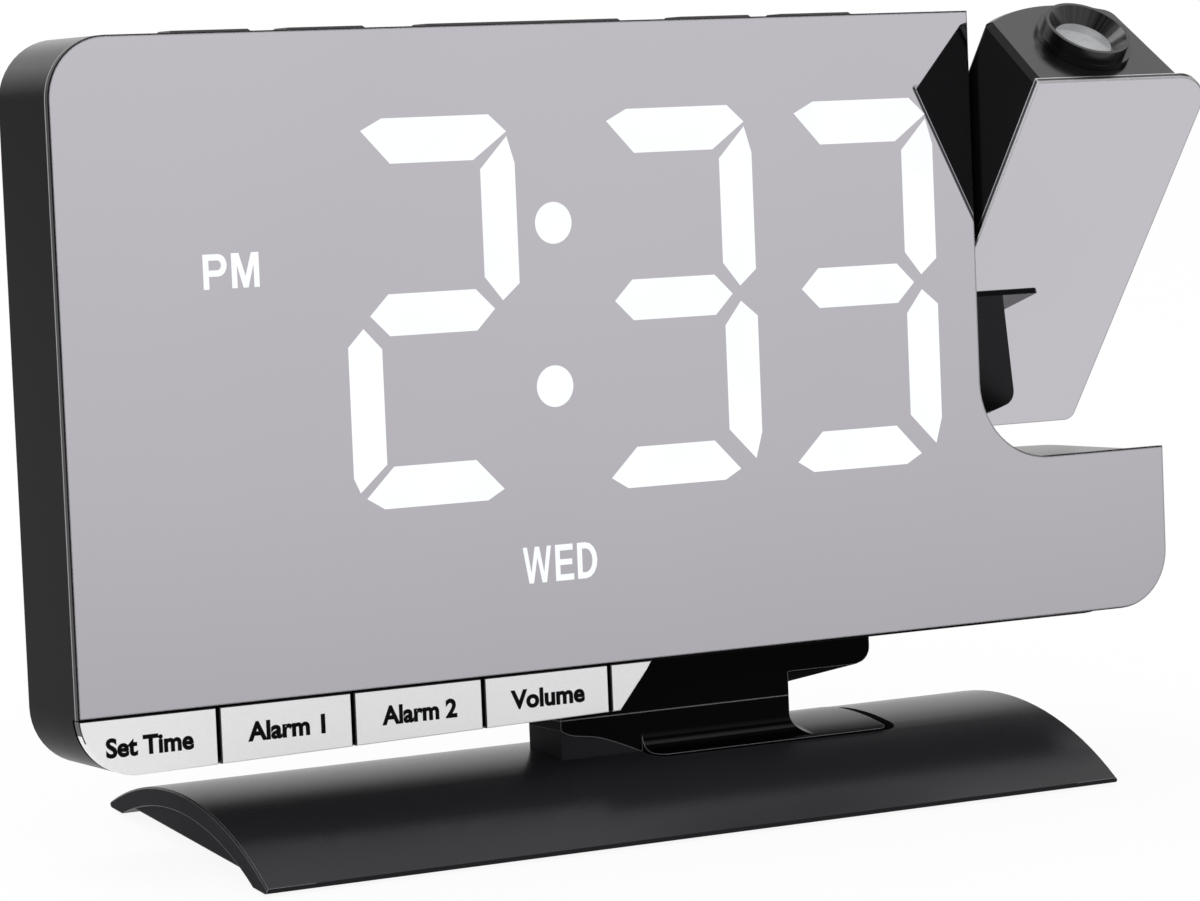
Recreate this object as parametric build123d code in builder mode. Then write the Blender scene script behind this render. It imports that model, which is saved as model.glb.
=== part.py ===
"""Projection alarm clock: a mirror-faced display on an arched stand, with a
tilting projector head beside it. Millimetres and degrees.

+X is to the right of someone reading the time, -Y points at them, +Z is up.
The origin is on the table, under the middle of the clock as it stands.
"""
from build123d import *
from math import cos, radians, sin, sqrt, tan
import os

os.makedirs("parts", exist_ok=True)

# --------------------------------------------------------------------------
# Driving dimensions
# --------------------------------------------------------------------------
FIT = 0.15                 # assembly gap between two moulded pieces
RUNNING = 0.05             # radial gap of a shaft or ring that turns
WALL = 2.2                 # moulded wall
OVERCUT = 1.0              # cuts start and end this far outside the solid

# mirror front
MIRROR_WIDTH = 190.0
MIRROR_HEIGHT = 96.0
MIRROR_THICKNESS = 1.0
MIRROR_BEVEL = 0.15        # on the polished edges of both mirrors
MIRROR_CORNER = 9.0
CUTOUT_WIDTH = 35.0        # notch at the top right that the head sits in
EAR_HEIGHT = 25.5          # mirror below the notch
CUTOUT_CORNER = 12.5
FACE_LEAN = 7.0            # the face leans back from the vertical
FACE_FRONT = 10.35         # from the stand's middle forward to the mirror's lower edge
FACE_RISE = 23.9           # from the table up to the mirror's lower edge
STAND_BACK = -3.66         # Y of the stand's middle

# housing
HOUSING_DEPTH = 18.0       # from the mirror's front to the back
COLUMN_DEPTH = 21.1        # deepest point of the D-shaped column
COLUMN_SIDE = 16.6         # depth at which the column's back starts to curve
COLUMN_INSET = 6.9         # mirror that stands out past the column at the right
COLUMN_TAPER = 1.9         # column is narrower at its back
COLUMN_HEEL = 18.9         # depth of its back at the right
COLUMN_RADIUS_RIGHT = 3.0
COLUMN_RADIUS_LEFT = 1.5
COLUMN_HOLLOW_BACK = 16.4
PASSAGE_BACK = 14.0        # opening between the tray and the column
POST_SIZE = 5.0            # posts that the rear cover is screwed to
POST_INSET_LEFT = 6.5
POST_INSET_RIGHT = 5.5
LIP = 0.3                  # housing that shows under the mirror
EDGE_BEVEL = 0.3           # housing's edge behind the mirror
SEAT_DEPTH = 4.4           # housing's front wall ends here
COVER_THICKNESS = 2.0

# key strip under the mirror
STRIP_DROP_LEFT = 8.7
STRIP_DROP_RIGHT = 7.2
STRIP_END_TOP = -1.45      # X of the slanted right end
STRIP_END_BOTTOM = -7.3
KEY_LINE = 0.55            # dark line between keys
KEY_COUNT = 4
KEYS_RIGHT = -9.0          # X where the last key ends
KEY_THICKNESS = 1.6
KEY_TRAVEL = 0.5
KEY_GAP = 0.7              # free space behind a key
STEM_WIDTH = 8.0           # stem behind each key
STEM_HEIGHT = 2.6
STEM_CENTRE = -3.1
STEM_REACH = 1.8           # past the housing's front wall

# top buttons: name, centre as a share of the top's length, length
BUTTON_SHARES = [
    ("light_button", 0.1845, 12.8),
    ("minus_button", 0.3039, 12.8),
    ("snooze_bar", 0.5161, 33.2),
    ("plus_button", 0.731, 12.8),
    ("projector_button", 0.849, 12.8),
]
BUTTON_WIDTH = 5.0         # front to back
BUTTON_DEPTH = 9.5         # depth of the buttons' centre line
BUTTON_PROUD = 0.5
BUTTON_BEVEL = 0.35
BUTTON_TRAVEL = 0.45
BUTTON_FLANGE = 0.8
SWITCH_SIZE = 4.5
SWITCH_HEIGHT = 1.8
PLUNGER_SIZE = 2.4
PLUNGER_HEIGHT = 0.6
SWITCH_PLAY = 0.15         # between a pressed button and its switch

# projector head
HEAD_TILT = 36.6           # forward from the face, as it stands
HEAD_GAP = 0.7             # between head and housing
HEAD_OVERHANG = 6.1        # head's mirror past its body at the right
HEAD_CORNER = 6.5
HEAD_HEEL = 1.5            # radius at the head's lower right
HEAD_CROWN = 0.9           # bevel round the back of the head's top
HEAD_WALL = 1.8
AXIS_DEPTH = 8.9
AXIS_HEIGHT = 63.8
SWEEP_GAP = 0.3            # head's lower end to the ear, at its closest
LENS_ACROSS = 14.3         # lens centre from the head's left side
LENS_DEPTH = 10.0
AXLE_RADIUS = 4.0
AXLE_BORE = 2.0
AXLE_FLANGE = 1.6
AXLE_FLANGE_SIZE = 10.0    # square, so that it can't turn in the head
BUSH_RADIUS = 6.0
BUSH_LENGTH = 4.5
BUSH_CLEARANCE = 2.5       # room for the retaining clip
BOSS_RADIUS = 7.0          # boss around the bush, and the friction washer
CIRCLIP_RADIUS = 5.3
CIRCLIP_THICKNESS = 0.9
RING_SLEEVE = 5.44         # focus ring: sleeve, flange, grip and cone
RING_FLANGE = 7.7
RING_OUTER = 6.9
RING_LIP = 0.6
RING_HEIGHT = 2.7
FLANGE_HEIGHT = 1.0
LENS_RADIUS = 4.6
LENS_SINK = 2.3            # lens below the ring's top
LENS_THICKNESS = 2.0
SLEEVE_REACH = 2.0         # sleeve below the lens
BARREL_SIZE = 14.4
BARREL_BOTTOM = 6.0
SLIDE_SIZE = 11.5
SLIDE_THICKNESS = 1.1
CONDENSER_THICKNESS = 2.4
EMITTER_TOP = -1.4
EMITTER_SIZE = 3.6
SINK_WIDTH = 16.0          # heat sink and its board
SINK_LENGTH = 12.0
SINK_THICKNESS = 1.8
FIN_THICKNESS = 0.8
FIN_HEIGHT = 5.6

# light box behind the mirror, set in from the mirror's edges
BOX_INSET_LEFT = 15.0
BOX_INSET_RIGHT = 6.6
BOX_INSET_TOP = 8.6
BOX_BOTTOM = 6.2
BOX_BACK = 10.0
BOARD_THICKNESS = 1.2
BOARD_INSET = 12.0         # boards from the housing's sides
BOARD_WIDTH = 8.0          # top switch board, front to back
BOARD_GAP = 5.0            # main board from the speaker and the light box's top
BOARD_CLEARANCE = 1.0
CHIP_HEIGHT = 1.0
SEGMENT_GAP = 1.0          # between two bars of a figure
CHIP_SHARES = [0.3, 0.7]   # chips along the main board
CHIP_SIZE = 7.0
STROKE = 6.0
COLON_RADIUS = 3.1
# places and sizes on the light box, as shares of its width or its height
DIGIT_LEFTS = [0.2226, 0.5382, 0.7826]
DIGIT_WIDTH = 0.2114
DIGIT_BOTTOM = 0.2451
DIGIT_TOP = 0.9434
LEAD_LEFT = 0.1507         # the narrow leading figure
COLON_X = 0.4813
COLON_HEIGHTS = [0.4433, 0.7414]
DAY_CENTRE = 0.4753
DAY_PITCH = 0.1274
DAY_HALF_WIDTH = 0.0525
DAY_BOTTOM = 0.0739
DAY_TOP = 0.165
MARK_LEFT = 0.045          # window of the afternoon mark
MARK_RIGHT = 0.1319
MARK_BOTTOM = 0.638
MARK_TOP = 0.7365

# battery hatch on the back
HATCH_INSET = 37.0         # from the housing's left side
HATCH_HEIGHT = 34.0
HATCH_RADIUS = 12.5
CELL_RADIUS = 10.0
CELL_THICKNESS = 3.2
LUG_REACH = 1.2
LUG_HALF_ANGLE = 16
LUG_PLAY = 3               # notches are wider than the lugs by this angle
NOTCH_ANGLE = 45
COIN_SLOT = 1.8
COIN_SLOT_DEPTH = 1.0

# speaker on the back
SPEAKER_X = -6.0
SPEAKER_HEIGHT = 32.0
SPEAKER_RADIUS = 14.0
SPEAKER_THICKNESS = 4.0
SPEAKER_RIM = 2.5
CONE_DEPTH = 1.0
GRILLE_PITCH = 3.4
GRILLE_SLOT = 1.6
WELL_RADIUS = 2.6          # wells for the cover's screws
WELL_DEPTH = 1.2

# sockets in the back of the column
SOCKET_HEIGHT = 13.0
SOCKET_WINDOW_BACK = 18.4  # floor of the recess around them
WINDOW_REACH = 8.4
WINDOW_HALF = 5.4
USB_INSET = 9.2            # from the column's left side
USB_WIDTH = 13.2
USB_HEIGHT = 5.8
USB_SHELL = 0.35
USB_TONGUE = 1.8
TONGUE_WIDTH = 11.2
FLOOR_THICKNESS = 2.0      # closed end of both sockets
CONTACT_RECESS = 1.0       # contacts behind the sockets' mouths
JACK_INSET = 21.0
JACK_RADIUS = 4.0
JACK_BORE = 2.9
JACK_PIN = 1.0
JACK_SIDE = 3.3
JACK_HALF_HEIGHT = 5.0
JACK_NOSE = 13.4           # depth where the round nose starts

# neck and stand
NECK_LEFT = -13.3
NECK_RIGHT = 27.4
CHIN_RIGHT = 42.6
NECK_FRONT = 8.0           # depth of the neck's front face
PARTING_DROP = 9.0         # parting line below the mirror
CHIN_DROP = 4.6            # chin's lower end at the right
CHIN_SHOULDER = 8.8        # and beside the neck
CHIN_FRONT_DROP = 5.3      # front edge of the chin's sloping underside
CHIN_BACK_DROP = 9.3
CHIN_CORNER = 2.5
BASE_WIDTH = 147.4
BASE_LENGTH = 54.4
ARCH_RADIUS = 56.0
ARCH_CREST = 8.2
ARCH_WALL = 2.8
TABLE_GAP = 0.3            # rim above the table
RIM_OUTER = 0.6            # radii of the rim's lower edges
RIM_INNER = 1.2
ARCH_BEVEL = 0.25          # round the arch's ends
WEB_THICKNESS = 1.6
WEB_SETBACK = 0.4
PAD_FLOOR = 5.8            # inlay recess floor
PAD_UNDERSIDE = 3.8
PAD_MARGIN = 3.0           # thick part past the recess and the pedestal
PLATE_UNDERSIDE = 1.9
PLATE_THICKNESS = 1.4
FOOT_LENGTH = 11.0
FOOT_WIDTH = 7.0
FOOT_INSET = 3.0           # feet from the plate's edges
WEIGHT_END = 7.5           # weights from the plate's ends and the neck
WEIGHT_HALF = 8.0
BOOT_FRONT = -7.4          # inlaid foot of the neck
BOOT_BACK = 10.5
BOOT_LEFT = 0.8
BOOT_RIGHT = 43.6
BOOT_PROUD = 0.3           # foot above the arch
BOOT_BLEND = 3.0           # radius between neck and foot
BOOT_CORNER_LEFT = 2.8
BOOT_CORNER_RIGHT = 1.6
SLOT_WIDTH = 2.3           # open end of the recess, right of the foot
SPIGOT_LEFT = 0.0
SPIGOT_RIGHT = 22.0
SPIGOT_RISE = 6.0
SPIGOT_WALL = 2.6          # socket around the spigot

# --------------------------------------------------------------------------
# Derived sizes
# --------------------------------------------------------------------------
LEFT = -MIRROR_WIDTH / 2
RIGHT = MIRROR_WIDTH / 2
KEY_PITCH = (KEYS_RIGHT - LEFT) / KEY_COUNT
KEY_LEFTS = [LEFT + number * KEY_PITCH for number in range(KEY_COUNT)]
KEY_CENTRES = [left + KEY_PITCH / 2 for left in KEY_LEFTS]
HATCH_X = LEFT + HATCH_INSET
CUTOUT_X = RIGHT - CUTOUT_WIDTH
TOP_BUTTONS = [(name, LEFT + share * (CUTOUT_X - LEFT), length) for name, share, length in BUTTON_SHARES]
COLUMN_RIGHT = RIGHT - COLUMN_INSET
COVER_FRONT = HOUSING_DEPTH - COVER_THICKNESS
POCKET_DEPTH = KEY_THICKNESS + KEY_GAP
BOARD_BACK = BOX_BACK + BOARD_THICKNESS
BOX_LEFT = LEFT + BOX_INSET_LEFT
BOX_RIGHT = CUTOUT_X - BOX_INSET_RIGHT
BOX_TOP = MIRROR_HEIGHT - BOX_INSET_TOP
USB_X = CUTOUT_X + USB_INSET
JACK_X = CUTOUT_X + JACK_INSET
POSTS = [
    (LEFT + POST_INSET_LEFT, MIRROR_HEIGHT - POST_INSET_LEFT),
    (LEFT + POST_INSET_LEFT, BOX_BOTTOM + POST_SIZE / 2),
    (CUTOUT_X - POST_INSET_RIGHT, MIRROR_HEIGHT - POST_INSET_RIGHT),
    (CUTOUT_X - POST_INSET_RIGHT, BOX_BOTTOM - POST_SIZE / 2 - FIT),
]

HEAD_LEFT = CUTOUT_X + HEAD_GAP
HEAD_RIGHT = RIGHT - HEAD_GAP
HEAD_BODY_RIGHT = HEAD_RIGHT - HEAD_OVERHANG
HEAD_TOP = MIRROR_HEIGHT - AXIS_HEIGHT
HEAD_REACH = AXIS_HEIGHT - EAR_HEIGHT - SWEEP_GAP
HEAD_BOTTOM = -sqrt(HEAD_REACH**2 - AXIS_DEPTH**2)
HEAD_BODY_BOTTOM = -sqrt(HEAD_REACH**2 - (COLUMN_DEPTH - AXIS_DEPTH) ** 2) + SWEEP_GAP
LENS_X = HEAD_LEFT + LENS_ACROSS
ARCH_CENTRE = ARCH_CREST - ARCH_RADIUS
ARCH_INNER = ARCH_RADIUS - ARCH_WALL
HALF_LENGTH = BASE_LENGTH / 2
HALF_WIDTH = BASE_WIDTH / 2
PLATE_END = HALF_WIDTH - WEB_SETBACK - WEB_THICKNESS - FIT
PLATE_SIDE = sqrt(ARCH_INNER**2 - (PLATE_UNDERSIDE - ARCH_CENTRE) ** 2)
FOOT_X = PLATE_END - FOOT_INSET - FOOT_LENGTH / 2
FOOT_Y = PLATE_SIDE - FOOT_INSET - FOOT_WIDTH / 2
PLATE_TOP = PLATE_UNDERSIDE + PLATE_THICKNESS


# --------------------------------------------------------------------------
# Planes: TABLE is the ground plan, with its centre under the stand's middle.
# FACE lies on the mirror's front, x to the right and y up the face.
# HEAD lies on the head's mirror, with y = 0 at the tilt axis.
# --------------------------------------------------------------------------
def leaning_plane(origin, lean):
    """Plane that faces the reader, leaning back by the given angle."""
    return Plane(origin=origin, x_dir=(1, 0, 0), z_dir=(0, -cos(radians(lean)), sin(radians(lean))))


def looking_down(face):
    """Plan of a leaning plane: x to the right, y into the depth, normal up the face."""
    return Plane(origin=face.origin, x_dir=(1, 0, 0), z_dir=face.y_dir)


TABLE = Plane(origin=(0, STAND_BACK, 0), x_dir=(1, 0, 0), z_dir=(0, 0, 1))
FACE = leaning_plane((0, STAND_BACK - FACE_FRONT, FACE_RISE), FACE_LEAN)
AXIS_POINT = FACE.from_local_coords((0, AXIS_HEIGHT, -AXIS_DEPTH))
HEAD = leaning_plane(AXIS_POINT, FACE_LEAN - HEAD_TILT).offset(AXIS_DEPTH)
FACE_AXIS = Axis(FACE.origin, FACE.z_dir)
HEAD_AXIS = Axis(HEAD.origin, HEAD.z_dir)
FACE_PLAN = looking_down(FACE)
HEAD_PLAN = looking_down(HEAD)
HINGE = Plane(origin=AXIS_POINT, x_dir=(0, 1, 0), z_dir=(1, 0, 0))


# --------------------------------------------------------------------------
# Helpers
# --------------------------------------------------------------------------
def rounded_outline(corners):
    """Face through corners (x, y, radius), each rounded where it has a radius."""
    with BuildSketch() as outline:
        with BuildLine():
            Polyline([(x, y) for x, y, _ in corners], close=True)
        make_face()
        for x, y, radius in corners:
            if radius:
                fillet(outline.vertices().sort_by_distance((x, y))[0], radius)
    return outline.sketch


def rectangle(left, right, bottom, top, radius=0):
    """Rectangle between two sides and two heights, with one corner radius."""
    corners = [(left, bottom), (left, top), (right, top), (right, bottom)]
    return rounded_outline([(x, y, radius) for x, y in corners])


def block(x, y, width, height):
    """Rectangle about a point."""
    return rectangle(x - width / 2, x + width / 2, y - height / 2, y + height / 2)


def inset(outline, amount):
    """The outline moved inwards by an amount."""
    with BuildSketch() as smaller:
        add(outline)
        offset(amount=-amount, kind=Kind.INTERSECTION)
    return smaller.sketch


def common(first, second):
    """The area that two outlines share."""
    with BuildSketch() as shared:
        add(first)
        add(second, mode=Mode.INTERSECT)
    return shared.sketch


def disc(x, y, radius):
    """Round outline about a point."""
    with BuildSketch() as circle:
        with Locations((x, y)):
            Circle(radius)
    return circle.sketch


def sink(outline, near, far, face=FACE, mode=Mode.ADD):
    """Extrude an outline from one depth behind a face to another."""
    with BuildSketch(face.offset(-near)) as profile:
        add(outline)
    extrude(profile.sketch, amount=far - near, dir=-face.z_dir, mode=mode)


def rise(outline, low, high, plan=FACE_PLAN, mode=Mode.ADD):
    """Extrude an outline of a plan from one height to another."""
    with BuildSketch(plan.offset(low)) as profile:
        add(outline)
    extrude(profile.sketch, amount=high - low, dir=plan.z_dir, mode=mode)


def along_x(outline, left, right, mode=Mode.ADD):
    """Extrude a side view (y to the back, z up) from one X to another."""
    with BuildSketch(Plane(origin=(left, STAND_BACK, 0), x_dir=(0, 1, 0), z_dir=(1, 0, 0))) as profile:
        add(outline)
    extrude(profile.sketch, amount=right - left, dir=(1, 0, 0), mode=mode)


def along_axle(outline, left, right, mode=Mode.ADD):
    """Extrude an outline about the head's tilt axis from one X to another."""
    with BuildSketch(HINGE.offset(left)) as profile:
        add(outline)
    extrude(profile.sketch, amount=right - left, dir=(1, 0, 0), mode=mode)


def front_edges(part, axis):
    """Edges of the face that lies furthest along an axis."""
    return part.faces().sort_by(axis)[-1].edges()


def finish_piece(piece, name):
    """Name a finished piece and write its file."""
    piece.label = name
    export_step(piece, f"parts/{name}.step")


# --------------------------------------------------------------------------
# Outlines that several pieces share
# --------------------------------------------------------------------------
mirror_outline = rounded_outline([
    (LEFT, 0, 0),
    (LEFT, MIRROR_HEIGHT, MIRROR_CORNER),
    (CUTOUT_X, MIRROR_HEIGHT, 0),
    (CUTOUT_X, EAR_HEIGHT, CUTOUT_CORNER),
    (RIGHT, EAR_HEIGHT, 0),
    (RIGHT, 0, MIRROR_CORNER),
])
housing_outline = rounded_outline([
    (LEFT, -STRIP_DROP_LEFT, MIRROR_CORNER),
    (LEFT, MIRROR_HEIGHT, MIRROR_CORNER),
    (CUTOUT_X, MIRROR_HEIGHT, 0),
    (CUTOUT_X, EAR_HEIGHT, CUTOUT_CORNER),
    (COLUMN_RIGHT, EAR_HEIGHT, 0),
    (COLUMN_RIGHT, -LIP, MIRROR_CORNER),
    (STRIP_END_TOP, -LIP, 0),
    (STRIP_END_BOTTOM, -STRIP_DROP_RIGHT, 0),
])
tray_outline = common(housing_outline, rectangle(LEFT, CUTOUT_X, -STRIP_DROP_LEFT, MIRROR_HEIGHT))
housing_hollow = inset(housing_outline, WALL)
tray_hollow = common(housing_hollow, rectangle(LEFT, CUTOUT_X - WALL, -STRIP_DROP_LEFT, MIRROR_HEIGHT))
strip_outline = common(housing_outline, rounded_outline([
    (LEFT, -STRIP_DROP_LEFT, 0),
    (LEFT, 0, 0),
    (STRIP_END_TOP, 0, 0),
    (STRIP_END_BOTTOM, -STRIP_DROP_LEFT, 0),
]))
key_row = common(strip_outline, rectangle(LEFT, RIGHT, -STRIP_DROP_LEFT, -FIT))


def column_plan(left, right, front):
    """D shape in plan: flat sides and a back that curves."""
    tapered = right - COLUMN_TAPER
    with BuildSketch() as plan:
        with BuildLine():
            Polyline((tapered, COLUMN_HEEL), (right, front), (left, front), (left, COLUMN_SIDE))
            ThreePointArc((left, COLUMN_SIDE), ((left + right) / 2, COLUMN_DEPTH), (tapered, COLUMN_HEEL))
        make_face()
        fillet(plan.vertices().sort_by_distance((tapered, COLUMN_HEEL))[0], COLUMN_RADIUS_RIGHT)
        fillet(plan.vertices().sort_by_distance((left, COLUMN_SIDE))[0], COLUMN_RADIUS_LEFT)
    return plan.sketch


ear_plan = column_plan(CUTOUT_X, COLUMN_RIGHT, MIRROR_THICKNESS)
head_plan = column_plan(HEAD_LEFT, HEAD_BODY_RIGHT, MIRROR_THICKNESS)
head_outline = rounded_outline([
    (HEAD_LEFT, HEAD_TOP, 0),
    (HEAD_RIGHT, HEAD_TOP, HEAD_CORNER),
    (HEAD_RIGHT, HEAD_BOTTOM, HEAD_HEEL),
    (HEAD_LEFT, HEAD_BOTTOM, CUTOUT_CORNER + HEAD_GAP),
])
head_body_outline = rounded_outline([
    (HEAD_LEFT, HEAD_TOP, 0),
    (HEAD_BODY_RIGHT, HEAD_TOP, 0),
    (HEAD_BODY_RIGHT, HEAD_BODY_BOTTOM, 0),
    (HEAD_LEFT, HEAD_BODY_BOTTOM, CUTOUT_CORNER + HEAD_GAP),
])

axle_outline = disc(0, 0, AXLE_RADIUS)
bearing_bore = disc(0, 0, AXLE_RADIUS + RUNNING)
bush_outline = disc(0, 0, BUSH_RADIUS)

# --------------------------------------------------------------------------
# Front frame: deep tray with the D-shaped column behind the mirror's ear
# --------------------------------------------------------------------------
with BuildPart() as ear_column:
    sink(housing_outline, MIRROR_THICKNESS, COLUMN_DEPTH + OVERCUT)
    rise(ear_plan, -LIP - OVERCUT, EAR_HEIGHT + CUTOUT_CORNER + OVERCUT, mode=Mode.INTERSECT)

with BuildPart() as ear_hollow:
    sink(housing_hollow, SEAT_DEPTH, COLUMN_HOLLOW_BACK)
    rise(inset(ear_plan, WALL), -LIP - OVERCUT, EAR_HEIGHT + OVERCUT, mode=Mode.INTERSECT)

with BuildPart() as front_frame:
    sink(tray_outline, MIRROR_THICKNESS, HOUSING_DEPTH)
    left_edges = [
        edge for edge in front_frame.faces().sort_by(FACE_AXIS)[-1].edges()
        if edge.center().X < LEFT + MIRROR_CORNER
    ]
    chamfer(left_edges, EDGE_BEVEL)
    add(ear_column.part)
    sink(tray_hollow, SEAT_DEPTH, HOUSING_DEPTH + OVERCUT, mode=Mode.SUBTRACT)
    add(ear_hollow.part, mode=Mode.SUBTRACT)
    # passage for the leads between the tray and the column
    sink(
        rectangle(CUTOUT_X - WALL - OVERCUT, CUTOUT_X + WALL + OVERCUT, WALL, EAR_HEIGHT - WALL),
        SEAT_DEPTH, PASSAGE_BACK, mode=Mode.SUBTRACT,
    )
    # posts that the rear cover is screwed to
    for x, height in POSTS:
        sink(block(x, height, POST_SIZE, POST_SIZE), SEAT_DEPTH, COVER_FRONT)
    # boss around the projector's bush
    along_axle(disc(0, 0, BOSS_RADIUS), CUTOUT_X - BUSH_LENGTH, CUTOUT_X - WALL / 2)
    along_axle(bush_outline, CUTOUT_X - BUSH_LENGTH - BUSH_CLEARANCE, CUTOUT_X + OVERCUT, mode=Mode.SUBTRACT)
    # pocket that the keys sink into, and the slots for their stems
    sink(strip_outline, 0, POCKET_DEPTH, mode=Mode.SUBTRACT)
    for centre in KEY_CENTRES:
        sink(
            block(centre, STEM_CENTRE, STEM_WIDTH + 2 * FIT, STEM_HEIGHT + 2 * FIT),
            0, SEAT_DEPTH + OVERCUT, mode=Mode.SUBTRACT,
        )
    # window for the light box
    sink(
        rectangle(BOX_LEFT - FIT, BOX_RIGHT + FIT, BOX_BOTTOM - FIT, BOX_TOP + FIT),
        0, SEAT_DEPTH + OVERCUT, mode=Mode.SUBTRACT,
    )
    # slots for the top buttons
    for _, centre, length in TOP_BUTTONS:
        rise(
            block(centre, BUTTON_DEPTH, length + 2 * FIT, BUTTON_WIDTH + 2 * FIT),
            MIRROR_HEIGHT - WALL - OVERCUT, MIRROR_HEIGHT + OVERCUT, mode=Mode.SUBTRACT,
        )
    # recess and openings for the rear sockets
    sink(
        rectangle(
            USB_X - WINDOW_REACH, JACK_X + WINDOW_REACH - JACK_RADIUS / 2,
            SOCKET_HEIGHT - WINDOW_HALF, SOCKET_HEIGHT + WINDOW_HALF,
        ),
        SOCKET_WINDOW_BACK, COLUMN_DEPTH + OVERCUT, mode=Mode.SUBTRACT,
    )
    sink(
        block(USB_X, SOCKET_HEIGHT, USB_WIDTH + 2 * FIT, USB_HEIGHT + 2 * FIT),
        COLUMN_HOLLOW_BACK - OVERCUT, COLUMN_DEPTH + OVERCUT, mode=Mode.SUBTRACT,
    )
    sink(
        disc(JACK_X, SOCKET_HEIGHT, JACK_RADIUS + FIT),
        JACK_NOSE - OVERCUT, COLUMN_DEPTH + OVERCUT, mode=Mode.SUBTRACT,
    )
finish_piece(front_frame.part, "front_frame")

# --------------------------------------------------------------------------
# Mirror, keys and strip end
# --------------------------------------------------------------------------
with BuildPart() as display_plate:
    sink(mirror_outline, 0, MIRROR_THICKNESS)
    chamfer(front_edges(display_plate, FACE_AXIS), MIRROR_BEVEL)
finish_piece(display_plate.part, "display_plate")

KEY_NAMES = ["time_key", "alarm_one_key", "alarm_two_key", "volume_key"]
for name, left, centre in zip(KEY_NAMES, KEY_LEFTS, KEY_CENTRES):
    near_side = left if left == LEFT else left + KEY_LINE / 2
    far_side = left + KEY_PITCH - KEY_LINE / 2
    with BuildPart() as key:
        sink(common(key_row, rectangle(near_side, far_side, -STRIP_DROP_LEFT, 0)), 0, KEY_THICKNESS)
        chamfer(front_edges(key, FACE_AXIS), MIRROR_BEVEL)
        sink(block(centre, STEM_CENTRE, STEM_WIDTH, STEM_HEIGHT), KEY_THICKNESS, SEAT_DEPTH + STEM_REACH)
    finish_piece(key.part, name)

with BuildPart() as key_end_trim:
    sink(
        common(key_row, rectangle(KEYS_RIGHT + KEY_LINE / 2, RIGHT, -STRIP_DROP_LEFT, 0)),
        0, POCKET_DEPTH,
    )
    chamfer(front_edges(key_end_trim, FACE_AXIS), MIRROR_BEVEL)
finish_piece(key_end_trim.part, "key_end_trim")

# --------------------------------------------------------------------------
# Top buttons
# --------------------------------------------------------------------------
FLANGE_TOP = MIRROR_HEIGHT - WALL - RUNNING
FLANGE_BOTTOM = FLANGE_TOP - BUTTON_FLANGE
for name, centre, length in TOP_BUTTONS:
    with BuildPart() as button:
        rise(block(centre, BUTTON_DEPTH, length, BUTTON_WIDTH), FLANGE_TOP, MIRROR_HEIGHT + BUTTON_PROUD)
        chamfer(button.faces().sort_by(Axis(FACE.origin, FACE.y_dir))[-1].edges(), BUTTON_BEVEL)
        rise(
            block(centre, BUTTON_DEPTH, length + 2 * BUTTON_FLANGE, BUTTON_WIDTH + 2 * BUTTON_FLANGE),
            FLANGE_BOTTOM, FLANGE_TOP,
        )
    finish_piece(button.part, name)

# --------------------------------------------------------------------------
# Circuit boards and switches
# --------------------------------------------------------------------------
TOP_BOARD = FLANGE_BOTTOM - BUTTON_TRAVEL - SWITCH_PLAY - SWITCH_HEIGHT
BODY_HEIGHT = SWITCH_HEIGHT - PLUNGER_HEIGHT
with BuildPart() as top_switch_board:
    rise(
        block(
            (LEFT + CUTOUT_X) / 2, BUTTON_DEPTH,
            CUTOUT_X - LEFT - 2 * BOARD_INSET, BOARD_WIDTH,
        ),
        TOP_BOARD - BOARD_THICKNESS, TOP_BOARD,
    )
finish_piece(top_switch_board.part, "top_switch_board")

with BuildPart() as top_switches:
    for _, centre, _ in TOP_BUTTONS:
        rise(block(centre, BUTTON_DEPTH, SWITCH_SIZE, SWITCH_SIZE), TOP_BOARD, TOP_BOARD + BODY_HEIGHT)
        rise(
            block(centre, BUTTON_DEPTH, PLUNGER_SIZE, PLUNGER_SIZE),
            TOP_BOARD + BODY_HEIGHT, TOP_BOARD + SWITCH_HEIGHT,
        )
finish_piece(top_switches.part, "top_switches")

KEY_SWITCH_FRONT = SEAT_DEPTH + STEM_REACH + KEY_TRAVEL + SWITCH_PLAY
KEY_BOARD_FRONT = KEY_SWITCH_FRONT + SWITCH_HEIGHT
BOARD_FOOT = STEM_CENTRE - STEM_HEIGHT / 2
with BuildPart() as key_switch_board:
    sink(
        rectangle(LEFT + MIRROR_CORNER, KEYS_RIGHT, BOARD_FOOT - 2 * FIT, BOX_BOTTOM - BOARD_CLEARANCE),
        KEY_BOARD_FRONT, KEY_BOARD_FRONT + BOARD_THICKNESS,
    )
finish_piece(key_switch_board.part, "key_switch_board")

with BuildPart() as key_switches:
    for centre in KEY_CENTRES:
        sink(
            block(centre, BOARD_FOOT + SWITCH_SIZE / 2, SWITCH_SIZE, SWITCH_SIZE),
            KEY_SWITCH_FRONT + PLUNGER_HEIGHT, KEY_BOARD_FRONT,
        )
        sink(
            block(centre, STEM_CENTRE, PLUNGER_SIZE, PLUNGER_SIZE),
            KEY_SWITCH_FRONT, KEY_SWITCH_FRONT + PLUNGER_HEIGHT,
        )
finish_piece(key_switches.part, "key_switches")


# --------------------------------------------------------------------------
# Light box: one well for each digit segment, colon dot and day word
# --------------------------------------------------------------------------
def across(share):
    """X of a place on the light box, from its left side."""
    return BOX_LEFT + share * (BOX_RIGHT - BOX_LEFT)


def above(share):
    """Height of a place on the light box, from its bottom."""
    return BOX_BOTTOM + share * (BOX_TOP - BOX_BOTTOM)


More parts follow.
